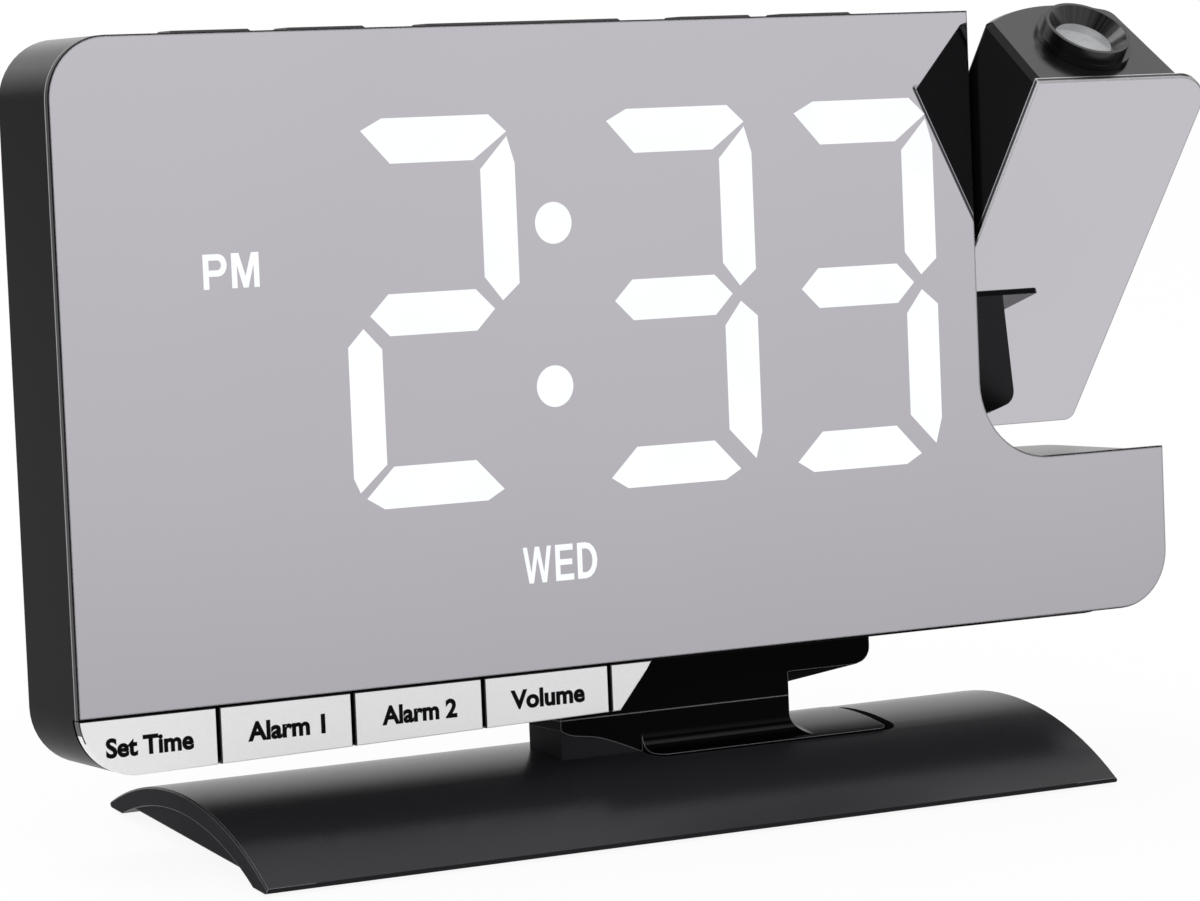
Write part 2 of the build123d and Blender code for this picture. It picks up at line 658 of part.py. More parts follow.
def bar(x, y, length, upright):
    """Six-sided segment about its centre, its points at the ends."""
    half = length / 2
    side = STROKE / 2
    tips = [
        (-half, 0), (side - half, side), (half - side, side),
        (half, 0), (half - side, -side), (side - half, -side),
    ]
    if upright:
        tips = [(b, a) for a, b in tips]
    return rounded_outline([(x + a, y + b, 0) for a, b in tips])


def digit_wells(left, right, low, high):
    """The seven segments of a digit between its strokes' centre lines."""
    middle = (low + high) / 2
    centre = (left + right) / 2
    wells = [bar(centre, height, right - left - SEGMENT_GAP, False) for height in (low, middle, high)]
    for x in (left, right):
        wells.append(bar(x, (low + middle) / 2, middle - low - SEGMENT_GAP, True))
        wells.append(bar(x, (middle + high) / 2, high - middle - SEGMENT_GAP, True))
    return wells


DIGIT_LOW = above(DIGIT_BOTTOM) + STROKE / 2
DIGIT_HIGH = above(DIGIT_TOP) - STROKE / 2
QUARTER = (DIGIT_HIGH - DIGIT_LOW) / 4
with BuildPart() as segment_reflector:
    sink(rectangle(BOX_LEFT, BOX_RIGHT, BOX_BOTTOM, BOX_TOP), MIRROR_THICKNESS, BOX_BACK)
    for share in DIGIT_LEFTS:
        near, far = across(share) + STROKE / 2, across(share + DIGIT_WIDTH) - STROKE / 2
        for well in digit_wells(near, far, DIGIT_LOW, DIGIT_HIGH):
            sink(well, MIRROR_THICKNESS, BOX_BACK, mode=Mode.SUBTRACT)
    for height in (DIGIT_LOW + QUARTER, DIGIT_HIGH - QUARTER):
        well = bar(across(LEAD_LEFT) + STROKE / 2, height, 2 * QUARTER - SEGMENT_GAP, True)
        sink(well, MIRROR_THICKNESS, BOX_BACK, mode=Mode.SUBTRACT)
    for share in COLON_HEIGHTS:
        well = disc(across(COLON_X), above(share), COLON_RADIUS)
        sink(well, MIRROR_THICKNESS, BOX_BACK, mode=Mode.SUBTRACT)
    for number in range(-3, 4):
        centre = DAY_CENTRE + number * DAY_PITCH
        well = rectangle(
            across(centre - DAY_HALF_WIDTH), across(centre + DAY_HALF_WIDTH),
            above(DAY_BOTTOM), above(DAY_TOP),
        )
        sink(well, MIRROR_THICKNESS, BOX_BACK, mode=Mode.SUBTRACT)
    well = rectangle(across(MARK_LEFT), across(MARK_RIGHT), above(MARK_BOTTOM), above(MARK_TOP))
    sink(well, MIRROR_THICKNESS, BOX_BACK, mode=Mode.SUBTRACT)
finish_piece(segment_reflector.part, "segment_reflector")

with BuildPart() as led_board:
    sink(rectangle(BOX_LEFT, BOX_RIGHT, BOX_BOTTOM, BOX_TOP), BOX_BACK, BOARD_BACK)
finish_piece(led_board.part, "led_board")

MAIN_FRONT = BOARD_BACK + BOARD_THICKNESS
MAIN_BACK = MAIN_FRONT + BOARD_THICKNESS
MAIN_BOTTOM = SPEAKER_HEIGHT + SPEAKER_RADIUS + BOARD_GAP
MAIN_TOP = BOX_TOP - BOARD_GAP
MAIN_LEFT = HATCH_X + HATCH_RADIUS + BOARD_INSET
MAIN_RIGHT = CUTOUT_X - BOARD_INSET
with BuildPart() as main_board:
    sink(rectangle(MAIN_LEFT, MAIN_RIGHT, MAIN_BOTTOM, MAIN_TOP), MAIN_FRONT, MAIN_BACK)
    for share in CHIP_SHARES:
        chip_x = MAIN_LEFT + share * (MAIN_RIGHT - MAIN_LEFT)
        chip = block(chip_x, (MAIN_BOTTOM + MAIN_TOP) / 2, CHIP_SIZE, CHIP_SIZE)
        sink(chip, MAIN_BACK, MAIN_BACK + CHIP_HEIGHT)
finish_piece(main_board.part, "main_board")

# --------------------------------------------------------------------------
# Rear sockets in the column
# --------------------------------------------------------------------------
SOCKET_BOARD_FRONT = SEAT_DEPTH + 2 * FIT
SOCKET_FRONT = SOCKET_BOARD_FRONT + BOARD_THICKNESS
SOCKET_FLOOR = SOCKET_FRONT + FLOOR_THICKNESS
CONTACT_BACK = SOCKET_WINDOW_BACK - CONTACT_RECESS
with BuildPart() as socket_board:
    sink(
        rectangle(
            CUTOUT_X + WALL + 3 * FIT, COLUMN_RIGHT - WALL - COLUMN_TAPER / 2,
            SOCKET_HEIGHT - JACK_HALF_HEIGHT - 2 * BOARD_CLEARANCE, EAR_HEIGHT - WALL - BOARD_CLEARANCE,
        ),
        SOCKET_BOARD_FRONT, SOCKET_FRONT,
    )
finish_piece(socket_board.part, "socket_board")

with BuildPart() as usb_port:
    usb_outer = block(USB_X, SOCKET_HEIGHT, USB_WIDTH, USB_HEIGHT)
    sink(usb_outer, SOCKET_FRONT, SOCKET_WINDOW_BACK)
    sink(inset(usb_outer, USB_SHELL), SOCKET_FLOOR, SOCKET_WINDOW_BACK + OVERCUT, mode=Mode.SUBTRACT)
    sink(
        block(USB_X, SOCKET_HEIGHT + USB_TONGUE / 2, TONGUE_WIDTH, USB_TONGUE),
        SOCKET_FLOOR, CONTACT_BACK,
    )
finish_piece(usb_port.part, "usb_port")

with BuildPart() as dc_jack:
    sink(
        rectangle(
            JACK_X - JACK_RADIUS, JACK_X + JACK_SIDE,
            SOCKET_HEIGHT - JACK_HALF_HEIGHT, SOCKET_HEIGHT + JACK_HALF_HEIGHT,
        ),
        SOCKET_FRONT, JACK_NOSE,
    )
    sink(disc(JACK_X, SOCKET_HEIGHT, JACK_RADIUS), JACK_NOSE, SOCKET_WINDOW_BACK)
    sink(
        disc(JACK_X, SOCKET_HEIGHT, JACK_BORE),
        SOCKET_FLOOR, SOCKET_WINDOW_BACK + OVERCUT, mode=Mode.SUBTRACT,
    )
    sink(disc(JACK_X, SOCKET_HEIGHT, JACK_PIN), SOCKET_FLOOR, CONTACT_BACK)
finish_piece(dc_jack.part, "dc_jack")

# --------------------------------------------------------------------------
# Rear cover with speaker grille and battery hatch
# --------------------------------------------------------------------------
LUG_OUTER = HATCH_RADIUS + LUG_REACH
LUG_INNER = CELL_RADIUS + LUG_REACH - 2 * FIT
LUG_FRONT = COVER_FRONT - LUG_REACH


def hatch_lugs(inner, outer, first_angle, half_angle):
    """Two ring pieces on opposite sides of the hatch's centre."""
    reach = 3 * outer
    side = reach * tan(radians(half_angle))
    with BuildSketch() as ring:
        with Locations((HATCH_X, HATCH_HEIGHT)):
            Circle(outer)
            Circle(inner, mode=Mode.SUBTRACT)
    with BuildSketch() as wedges:
        with Locations((HATCH_X, HATCH_HEIGHT)):
            with PolarLocations(0, 2, start_angle=first_angle):
                Polygon((0, 0), (reach, -side), (reach, side), align=None)
    return common(ring.sketch, wedges.sketch)


hatch_notches = hatch_lugs(LUG_INNER, LUG_OUTER + 2 * FIT, NOTCH_ANGLE, LUG_HALF_ANGLE + LUG_PLAY)
door_necks = hatch_lugs(LUG_INNER, HATCH_RADIUS, 0, LUG_HALF_ANGLE)
door_lugs = hatch_lugs(LUG_INNER, LUG_OUTER, 0, LUG_HALF_ANGLE)
cover_outline = common(
    inset(housing_outline, WALL + FIT),
    rectangle(LEFT, CUTOUT_X - WALL - FIT, -STRIP_DROP_LEFT, MIRROR_HEIGHT),
)
GRILLE_RADIUS = SPEAKER_RADIUS - SPEAKER_RIM
with BuildPart() as rear_cover:
    sink(cover_outline, COVER_FRONT, HOUSING_DEPTH)
    sink(
        disc(HATCH_X, HATCH_HEIGHT, HATCH_RADIUS + FIT),
        COVER_FRONT - OVERCUT, HOUSING_DEPTH + OVERCUT, mode=Mode.SUBTRACT,
    )
    sink(hatch_notches, COVER_FRONT - OVERCUT, HOUSING_DEPTH + OVERCUT, mode=Mode.SUBTRACT)
    # wells for the screw heads
    for x, height in POSTS:
        sink(
            disc(x, height, WELL_RADIUS),
            HOUSING_DEPTH - WELL_DEPTH, HOUSING_DEPTH + OVERCUT, mode=Mode.SUBTRACT,
        )
    # speaker grille: slots whose ends follow a circle
    for row in range(-3, 4):
        reach = sqrt(GRILLE_RADIUS**2 - (row * GRILLE_PITCH) ** 2)
        sink(
            block(SPEAKER_X, SPEAKER_HEIGHT + row * GRILLE_PITCH, 2 * reach, GRILLE_SLOT),
            COVER_FRONT - OVERCUT, HOUSING_DEPTH + OVERCUT, mode=Mode.SUBTRACT,
        )
finish_piece(rear_cover.part, "rear_cover")

with BuildPart() as speaker:
    sink(
        block(SPEAKER_X, SPEAKER_HEIGHT, 2 * SPEAKER_RADIUS, 2 * SPEAKER_RADIUS),
        COVER_FRONT - SPEAKER_THICKNESS, COVER_FRONT,
    )
    sink(
        disc(SPEAKER_X, SPEAKER_HEIGHT, GRILLE_RADIUS),
        COVER_FRONT - CONE_DEPTH, COVER_FRONT + OVERCUT, mode=Mode.SUBTRACT,
    )
finish_piece(speaker.part, "speaker")

# --------------------------------------------------------------------------
# Battery cup, cell and turning door
# --------------------------------------------------------------------------
CUP_FRONT = BOARD_BACK + FIT
CELL_FRONT = CUP_FRONT + 3 * FIT
CUP_SIZE = 2 * (LUG_OUTER + LUG_REACH)
with BuildPart() as battery_cup:
    sink(block(HATCH_X, HATCH_HEIGHT, CUP_SIZE, CUP_SIZE), CUP_FRONT, COVER_FRONT)
    sink(
        disc(HATCH_X, HATCH_HEIGHT, CELL_RADIUS + FIT),
        CELL_FRONT, COVER_FRONT + OVERCUT, mode=Mode.SUBTRACT,
    )
    sink(
        disc(HATCH_X, HATCH_HEIGHT, LUG_OUTER + 2 * FIT),
        LUG_FRONT - FIT, COVER_FRONT + OVERCUT, mode=Mode.SUBTRACT,
    )
finish_piece(battery_cup.part, "battery_cup")

with BuildPart() as coin_cell:
    sink(disc(HATCH_X, HATCH_HEIGHT, CELL_RADIUS), CELL_FRONT, CELL_FRONT + CELL_THICKNESS)
finish_piece(coin_cell.part, "coin_cell")

with BuildPart() as battery_door:
    sink(disc(HATCH_X, HATCH_HEIGHT, HATCH_RADIUS), COVER_FRONT, HOUSING_DEPTH)
    sink(
        block(HATCH_X, HATCH_HEIGHT, HATCH_RADIUS, COIN_SLOT),
        HOUSING_DEPTH - COIN_SLOT_DEPTH, HOUSING_DEPTH + OVERCUT, mode=Mode.SUBTRACT,
    )
    sink(door_necks, COVER_FRONT - FIT, COVER_FRONT + OVERCUT)
    sink(door_lugs, LUG_FRONT, COVER_FRONT - FIT)
finish_piece(battery_door.part, "battery_door")

# --------------------------------------------------------------------------
# Tilt axle between housing and head
# --------------------------------------------------------------------------
BUSH_LEFT = CUTOUT_X - BUSH_LENGTH
with BuildPart() as hinge_bush:
    along_axle(bush_outline, BUSH_LEFT, CUTOUT_X)
    along_axle(bearing_bore, BUSH_LEFT - OVERCUT, CUTOUT_X + OVERCUT, mode=Mode.SUBTRACT)
finish_piece(hinge_bush.part, "hinge_bush")

with BuildPart() as friction_washer:
    along_axle(disc(0, 0, BOSS_RADIUS), CUTOUT_X, HEAD_LEFT - RUNNING)
    along_axle(bearing_bore, CUTOUT_X - OVERCUT, HEAD_LEFT + OVERCUT, mode=Mode.SUBTRACT)
finish_piece(friction_washer.part, "friction_washer")

AXLE_LEFT = BUSH_LEFT - CIRCLIP_THICKNESS - 4 * FIT
FLANGE_LEFT = HEAD_LEFT + HEAD_WALL
FLANGE_RIGHT = FLANGE_LEFT + AXLE_FLANGE
with BuildPart() as hinge_axle:
    along_axle(axle_outline, AXLE_LEFT, FLANGE_RIGHT)
    along_axle(block(0, 0, AXLE_FLANGE_SIZE, AXLE_FLANGE_SIZE), FLANGE_LEFT, FLANGE_RIGHT)
    along_axle(disc(0, 0, AXLE_BORE), AXLE_LEFT - OVERCUT, FLANGE_RIGHT + OVERCUT, mode=Mode.SUBTRACT)
finish_piece(hinge_axle.part, "hinge_axle")

with BuildPart() as hinge_circlip:
    along_axle(disc(0, 0, CIRCLIP_RADIUS), BUSH_LEFT - CIRCLIP_THICKNESS - FIT, BUSH_LEFT - FIT)
    along_axle(axle_outline, AXLE_LEFT - OVERCUT, CUTOUT_X, mode=Mode.SUBTRACT)
finish_piece(hinge_circlip.part, "hinge_circlip")

# --------------------------------------------------------------------------
# Projector head
# --------------------------------------------------------------------------
ring_hole = disc(LENS_X, LENS_DEPTH, RING_SLEEVE + RUNNING)
HEAD_LOW = HEAD_BODY_BOTTOM - OVERCUT
with BuildPart() as head_block:
    sink(head_body_outline, MIRROR_THICKNESS, COLUMN_DEPTH + OVERCUT, HEAD)
    rise(head_plan, HEAD_LOW, HEAD_TOP + OVERCUT, HEAD_PLAN, mode=Mode.INTERSECT)
    crown = [
        edge for edge in head_block.faces().sort_by(Axis(HEAD.origin, HEAD.y_dir))[-1].edges()
        if HEAD.to_local_coords(edge.center()).Z < -HEAD_CROWN - MIRROR_THICKNESS
        and edge.center().X > HEAD_LEFT + HEAD_CROWN
    ]
    chamfer(crown, HEAD_CROWN)
with BuildPart() as head_hollow:
    sink(inset(head_body_outline, HEAD_WALL), MIRROR_THICKNESS, COLUMN_DEPTH + OVERCUT, HEAD)
    hollow_plan = common(
        inset(column_plan(HEAD_LEFT, HEAD_BODY_RIGHT, MIRROR_THICKNESS - HEAD_WALL), HEAD_WALL),
        rectangle(HEAD_LEFT, HEAD_RIGHT, MIRROR_THICKNESS, COLUMN_DEPTH),
    )
    rise(hollow_plan, HEAD_LOW, HEAD_TOP + OVERCUT, HEAD_PLAN, mode=Mode.INTERSECT)
with BuildPart() as projector_shell:
    add(head_block.part)
    add(head_hollow.part, mode=Mode.SUBTRACT)
    rise(ring_hole, HEAD_TOP - HEAD_WALL - OVERCUT, HEAD_TOP + OVERCUT, HEAD_PLAN, mode=Mode.SUBTRACT)
    along_axle(axle_outline, HEAD_LEFT - OVERCUT, FLANGE_LEFT + OVERCUT, mode=Mode.SUBTRACT)
finish_piece(projector_shell.part, "projector_shell")

with BuildPart() as projector_plate:
    sink(head_outline, 0, MIRROR_THICKNESS, HEAD)
    chamfer(front_edges(projector_plate, HEAD_AXIS), MIRROR_BEVEL)
finish_piece(projector_plate.part, "projector_plate")

# optics, stacked along the head from the light source up to the lens
BARREL_TOP = HEAD_TOP - HEAD_WALL
SLIDE_BOTTOM = BARREL_BOTTOM - SLIDE_THICKNESS
CONDENSER_BOTTOM = SLIDE_BOTTOM - CONDENSER_THICKNESS
EMITTER_BOTTOM = EMITTER_TOP - EMITTER_SIZE / 2
BOARD_BOTTOM = EMITTER_BOTTOM - BOARD_THICKNESS
SINK_BOTTOM = BOARD_BOTTOM - SINK_THICKNESS
FIN_PITCH = (SINK_LENGTH - FIN_THICKNESS) / 4
with BuildPart() as lens_barrel:
    rise(block(LENS_X, LENS_DEPTH, BARREL_SIZE, BARREL_SIZE), BARREL_BOTTOM, BARREL_TOP, HEAD_PLAN)
    rise(ring_hole, BARREL_BOTTOM - OVERCUT, BARREL_TOP + OVERCUT, HEAD_PLAN, mode=Mode.SUBTRACT)
finish_piece(lens_barrel.part, "lens_barrel")

with BuildPart() as image_slide:
    rise(block(LENS_X, LENS_DEPTH, SLIDE_SIZE, SLIDE_SIZE), SLIDE_BOTTOM, BARREL_BOTTOM, HEAD_PLAN)
finish_piece(image_slide.part, "image_slide")

with BuildPart() as condenser_lens:
    rise(disc(LENS_X, LENS_DEPTH, LENS_RADIUS), CONDENSER_BOTTOM, SLIDE_BOTTOM, HEAD_PLAN)
finish_piece(condenser_lens.part, "condenser_lens")

with BuildPart() as projector_led_board:
    rise(block(LENS_X, LENS_DEPTH, SINK_WIDTH, SINK_LENGTH), BOARD_BOTTOM, EMITTER_BOTTOM, HEAD_PLAN)
    rise(block(LENS_X, LENS_DEPTH, EMITTER_SIZE, EMITTER_SIZE), EMITTER_BOTTOM, EMITTER_TOP, HEAD_PLAN)
finish_piece(projector_led_board.part, "projector_led_board")

with BuildPart() as heat_sink:
    rise(block(LENS_X, LENS_DEPTH, SINK_WIDTH, SINK_LENGTH), SINK_BOTTOM, BOARD_BOTTOM, HEAD_PLAN)
    for number in range(-2, 3):
        fin = block(LENS_X, LENS_DEPTH + number * FIN_PITCH, SINK_WIDTH, FIN_THICKNESS)
        rise(fin, SINK_BOTTOM - FIN_HEIGHT, SINK_BOTTOM, HEAD_PLAN)
finish_piece(heat_sink.part, "heat_sink")

# --------------------------------------------------------------------------
# Focus ring and its lens: flange, turned ring with a cone inside, and sleeve
# --------------------------------------------------------------------------
RING_LEVEL = HEAD_TOP + RUNNING
LENS_TOP = HEAD_TOP + RING_HEIGHT - LENS_SINK
LENS_BOTTOM = LENS_TOP - LENS_THICKNESS
SLEEVE_BOTTOM = LENS_BOTTOM - SLEEVE_REACH
lens_axis = Plane(
    origin=HEAD_PLAN.from_local_coords((LENS_X, LENS_DEPTH, 0)), x_dir=(1, 0, 0), z_dir=-HEAD_PLAN.y_dir
)
with BuildPart() as focus_ring:
    with BuildSketch(lens_axis) as ring_profile:
        with BuildLine():
            Polyline(
                (RING_SLEEVE, SLEEVE_BOTTOM),
                (RING_SLEEVE, RING_LEVEL),
                (RING_FLANGE, RING_LEVEL),
                (RING_FLANGE, HEAD_TOP + FLANGE_HEIGHT),
                (RING_OUTER, HEAD_TOP + FLANGE_HEIGHT),
                (RING_OUTER, HEAD_TOP + RING_HEIGHT),
                (RING_OUTER - RING_LIP, HEAD_TOP + RING_HEIGHT),
                (LENS_RADIUS, LENS_TOP),
                (LENS_RADIUS, SLEEVE_BOTTOM),
                close=True,
            )
        make_face()
    revolve(axis=Axis(lens_axis.origin, HEAD_PLAN.z_dir))
finish_piece(focus_ring.part, "focus_ring")

with BuildPart() as focus_lens:
    rise(disc(LENS_X, LENS_DEPTH, LENS_RADIUS), LENS_BOTTOM, LENS_TOP, HEAD_PLAN)
finish_piece(focus_lens.part, "focus_lens")

# --------------------------------------------------------------------------
# Neck socket: the black chin fixed under the housing
# --------------------------------------------------------------------------
SPIGOT_FRONT = NECK_FRONT + SPIGOT_WALL
SPIGOT_BACK = HOUSING_DEPTH - SPIGOT_WALL
with BuildPart() as neck_socket:
    with BuildSketch() as chin:
        add(rounded_outline([
            (NECK_LEFT, -PARTING_DROP, 0),
            (NECK_LEFT, 0, 0),
            (CHIN_RIGHT, 0, 0),
            (CHIN_RIGHT, -CHIN_DROP, CHIN_CORNER),
            (NECK_RIGHT, -CHIN_SHOULDER, 0),
            (NECK_RIGHT, -PARTING_DROP, 0),
        ]))
        add(housing_outline, mode=Mode.SUBTRACT)
    sink(chin.sketch, NECK_FRONT, HOUSING_DEPTH)
    # sloping underside right of the neck
    with BuildSketch(Plane.YZ.offset(NECK_RIGHT)) as underside:
        slope = [
            FACE.from_local_coords((0, -drop, -depth))
            for drop, depth in (
                (CHIN_FRONT_DROP, NECK_FRONT),
                (CHIN_BACK_DROP, HOUSING_DEPTH),
                (CHIN_BACK_DROP, NECK_FRONT - OVERCUT),
            )
        ]
        with BuildLine():
            Polyline([(point.Y, point.Z) for point in slope], close=True)
        make_face()
    extrude(underside.sketch, amount=CHIN_RIGHT - NECK_RIGHT + OVERCUT, dir=(1, 0, 0), mode=Mode.SUBTRACT)
    rise(
        rectangle(SPIGOT_LEFT - FIT, SPIGOT_RIGHT + FIT, SPIGOT_FRONT - FIT, SPIGOT_BACK + FIT),
        -PARTING_DROP - OVERCUT, -PARTING_DROP + SPIGOT_RISE + FIT, mode=Mode.SUBTRACT,
    )
finish_piece(neck_socket.part, "neck_socket")

# --------------------------------------------------------------------------
# Stand: arched base with a pedestal and a recess that the neck's foot lies in
# --------------------------------------------------------------------------
HIGH = 30.0                # above everything that the plans cut
DEEP = -22.0               # below everything on the face that the views cut
PEDESTAL_EDGE = [
    (NECK_LEFT, -10.5), (-11.0, -11.5), (-8.8, -11.8), (-6.7, -12.2),
    (-4.0, -13.1), (-1.3, -14.2), (BOOT_LEFT, -15.1),
]


def under_arch(radius, low, half_length=HALF_LENGTH):
    """Side view of what lies under an arc of the arch and above a level."""
    with BuildSketch() as section:
        with Locations((0, ARCH_CENTRE)):
            Circle(radius)
        add(rectangle(-half_length, half_length, low, HIGH), mode=Mode.INTERSECT)
    return section.sketch


def arch_section():
    """Side view of the arch's wall, its rim rounded."""
    with BuildSketch() as section:
        add(under_arch(ARCH_RADIUS, TABLE_GAP))
        add(under_arch(ARCH_INNER, TABLE_GAP - OVERCUT), mode=Mode.SUBTRACT)
        rim = section.vertices().group_by(Axis.Y)[0].sort_by(Axis.X)
        fillet([rim[0], rim[-1]], RIM_OUTER)
        fillet([rim[1], rim[-2]], RIM_INNER)
    return section.sketch


# what lies under the pedestal's S-shaped edge, seen from the front
with BuildSketch() as pedestal_view:
    with BuildLine():
        Spline(*PEDESTAL_EDGE)
        Polyline(PEDESTAL_EDGE[-1], (BOOT_LEFT, DEEP), (NECK_LEFT, DEEP), PEDESTAL_EDGE[0])
    make_face()
boot_plan = rounded_outline([
    (BOOT_LEFT, BOOT_FRONT, BOOT_CORNER_LEFT),
    (BOOT_RIGHT, BOOT_FRONT, BOOT_CORNER_RIGHT),
    (BOOT_RIGHT, BOOT_BACK, BOOT_CORNER_RIGHT),
    (BOOT_LEFT, BOOT_BACK, 0),
])
recess_plan = rounded_outline([
    (BOOT_LEFT, BOOT_FRONT - FIT, BOOT_CORNER_LEFT),
    (BOOT_RIGHT + SLOT_WIDTH, BOOT_FRONT - FIT, BOOT_CORNER_LEFT),
    (BOOT_RIGHT + SLOT_WIDTH, BOOT_BACK + FIT, BOOT_CORNER_LEFT),
    (BOOT_LEFT, BOOT_BACK + FIT, 0),
])
above_pad = rectangle(-HALF_LENGTH, HALF_LENGTH, PAD_FLOOR, HIGH)

with BuildPart() as pedestal:
    sink(pedestal_view.sketch, NECK_FRONT, HOUSING_DEPTH)
    along_x(above_pad, NECK_LEFT - OVERCUT, BOOT_LEFT + OVERCUT, mode=Mode.INTERSECT)

with BuildPart() as base_shell:
    along_x(arch_section(), -HALF_WIDTH, HALF_WIDTH)
    arch_ends = [
        edge for edge in base_shell.edges().filter_by(GeomType.CIRCLE)
        if edge.radius > ARCH_INNER + ARCH_WALL / 2
    ]
    chamfer(arch_ends, ARCH_BEVEL)
    for outer in (-HALF_WIDTH + WEB_SETBACK, HALF_WIDTH - WEB_SETBACK - WEB_THICKNESS):
        along_x(under_arch(ARCH_INNER, PLATE_UNDERSIDE), outer, outer + WEB_THICKNESS)
    along_x(
        under_arch(ARCH_INNER, PAD_UNDERSIDE),
        NECK_LEFT - PAD_MARGIN, BOOT_RIGHT + SLOT_WIDTH + PAD_MARGIN,
    )
    rise(recess_plan, PAD_FLOOR, HIGH, TABLE, mode=Mode.SUBTRACT)
    add(pedestal.part)
finish_piece(base_shell.part, "base_shell")

with BuildPart() as neck_block:
    sink(rectangle(NECK_LEFT, NECK_RIGHT, DEEP, -PARTING_DROP), NECK_FRONT, HOUSING_DEPTH)
    along_x(above_pad, NECK_LEFT - OVERCUT, NECK_RIGHT + OVERCUT, mode=Mode.INTERSECT)

with BuildPart() as neck_limits:
    rise(boot_plan, PAD_FLOOR, HIGH, TABLE)
    add(neck_block.part)

with BuildPart() as stand_neck:
    rise(rectangle(BOOT_LEFT, BOOT_RIGHT, BOOT_FRONT, BOOT_BACK), PAD_FLOOR, HIGH, TABLE)
    along_x(under_arch(ARCH_RADIUS + BOOT_PROUD, PAD_FLOOR), BOOT_LEFT, BOOT_RIGHT, mode=Mode.INTERSECT)
    add(neck_block.part)
    # blend the neck's front and right sides into the foot
    foot_line = [
        edge
        for edge in stand_neck.edges()
        if BOOT_FRONT + BOOT_BLEND / 3 < edge.center().Y - STAND_BACK < BOOT_BACK - BOOT_BLEND
        and ARCH_CREST - 2 * BOOT_PROUD < edge.center().Z < ARCH_CREST + 2 * BOOT_PROUD
        and BOOT_LEFT + BOOT_BLEND / 3 < edge.center().X < NECK_RIGHT + FIT
    ]
    fillet(foot_line, BOOT_BLEND)
    add(neck_limits.part, mode=Mode.INTERSECT)
    add(base_shell.part, mode=Mode.SUBTRACT)
    rise(
        rectangle(SPIGOT_LEFT, SPIGOT_RIGHT, SPIGOT_FRONT, SPIGOT_BACK),
        -PARTING_DROP, -PARTING_DROP + SPIGOT_RISE,
    )
finish_piece(stand_neck.part, "stand_neck")

# --------------------------------------------------------------------------
# Underside: plate, steel weights and rubber feet
# --------------------------------------------------------------------------
with BuildPart() as base_plate:
    along_x(under_arch(ARCH_INNER - FIT, PLATE_UNDERSIDE), -PLATE_END, PLATE_END)
    rise(
        rectangle(-HALF_WIDTH, HALF_WIDTH, -HALF_LENGTH, HALF_LENGTH),
        PLATE_TOP, HIGH, TABLE, mode=Mode.SUBTRACT,
    )
finish_piece(base_plate.part, "base_plate")

with BuildPart() as base_weights:
    for left, right in (
        (WEIGHT_END - PLATE_END, NECK_LEFT - WEIGHT_END),
        (BOOT_RIGHT + WEIGHT_END, PLATE_END - WEIGHT_END),
    ):
        rise(rectangle(left, right, -WEIGHT_HALF, WEIGHT_HALF), PLATE_TOP, PLATE_TOP + PLATE_THICKNESS, TABLE)
finish_piece(base_weights.part, "base_weights")

with BuildPart() as rubber_feet:
    for x in (-FOOT_X, FOOT_X):
        for y in (-FOOT_Y, FOOT_Y):
            rise(block(x, y, FOOT_LENGTH, FOOT_WIDTH), 0, PLATE_UNDERSIDE, TABLE)
finish_piece(rubber_feet.part, "rubber_feet")
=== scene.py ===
# %% [markdown]
# # A projection alarm clock
# The clock's solids come ready made from CAD: every piece is at its real size and place, and
# grouped by what moves together. This lesson dresses them. It gives each piece the finish of its
# real material, adds the glowing figures, the printed words and marks and the screws, and sets up
# a plain studio. Everything is in metres, with +Z up and the reader of the clock on the -Y side.

# %% Load the clock
from math import cos, pi, radians, sin

import bmesh
import bpy
from mathutils import Matrix, Vector


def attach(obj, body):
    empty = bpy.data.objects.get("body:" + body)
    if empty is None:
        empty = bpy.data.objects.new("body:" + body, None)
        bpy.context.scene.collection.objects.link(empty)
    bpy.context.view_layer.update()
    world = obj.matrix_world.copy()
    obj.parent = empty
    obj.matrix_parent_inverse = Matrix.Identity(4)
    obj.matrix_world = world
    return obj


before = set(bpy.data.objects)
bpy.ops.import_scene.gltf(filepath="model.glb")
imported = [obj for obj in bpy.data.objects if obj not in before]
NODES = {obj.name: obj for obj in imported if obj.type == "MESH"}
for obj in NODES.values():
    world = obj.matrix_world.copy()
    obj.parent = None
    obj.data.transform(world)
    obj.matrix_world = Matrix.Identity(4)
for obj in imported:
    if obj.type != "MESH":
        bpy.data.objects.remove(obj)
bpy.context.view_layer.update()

MM = 0.001

# %% [markdown]
# ## Small tools
# Colours are picked on a screen, so they are written as sRGB hex values, and one function
# turns them into the linear numbers that light works with. A second function adds one shader node
# with its settings and links, so that a material reads as a short list of steps.


# %% Colour, node and object helpers
def linear(hex_colour):
    """Linear RGBA of an sRGB hex value such as "1f2a44"."""
    channels = [int(hex_colour[place:place + 2], 16) / 255 for place in (0, 2, 4)]
    return [c / 12.92 if c <= 0.04045 else ((c + 0.055) / 1.055) ** 2.4 for c in channels] + [1.0]


def add_node(tree, kind, links=None, values=None, **settings):
    """Add a shader node: links feed its inputs, values fill them, settings are its properties."""
    node = tree.nodes.new("ShaderNode" + kind)
    for name, value in settings.items():
        setattr(node, name, value)
    for socket, value in (values or {}).items():
        node.inputs[socket].default_value = value
    for socket, source in (links or {}).items():
        tree.links.new(source, node.inputs[socket])
    return node


def new_material(name, **shader_values):
    """A material with one Principled shader whose sockets are set by their names."""
    material = bpy.data.materials.new(name)
    material.use_nodes = True
    tree = material.node_tree
    shader = tree.nodes["Principled BSDF"]
    for socket, value in shader_values.items():
        shader.inputs[socket.replace("_", " ")].default_value = value
    return material, tree, shader


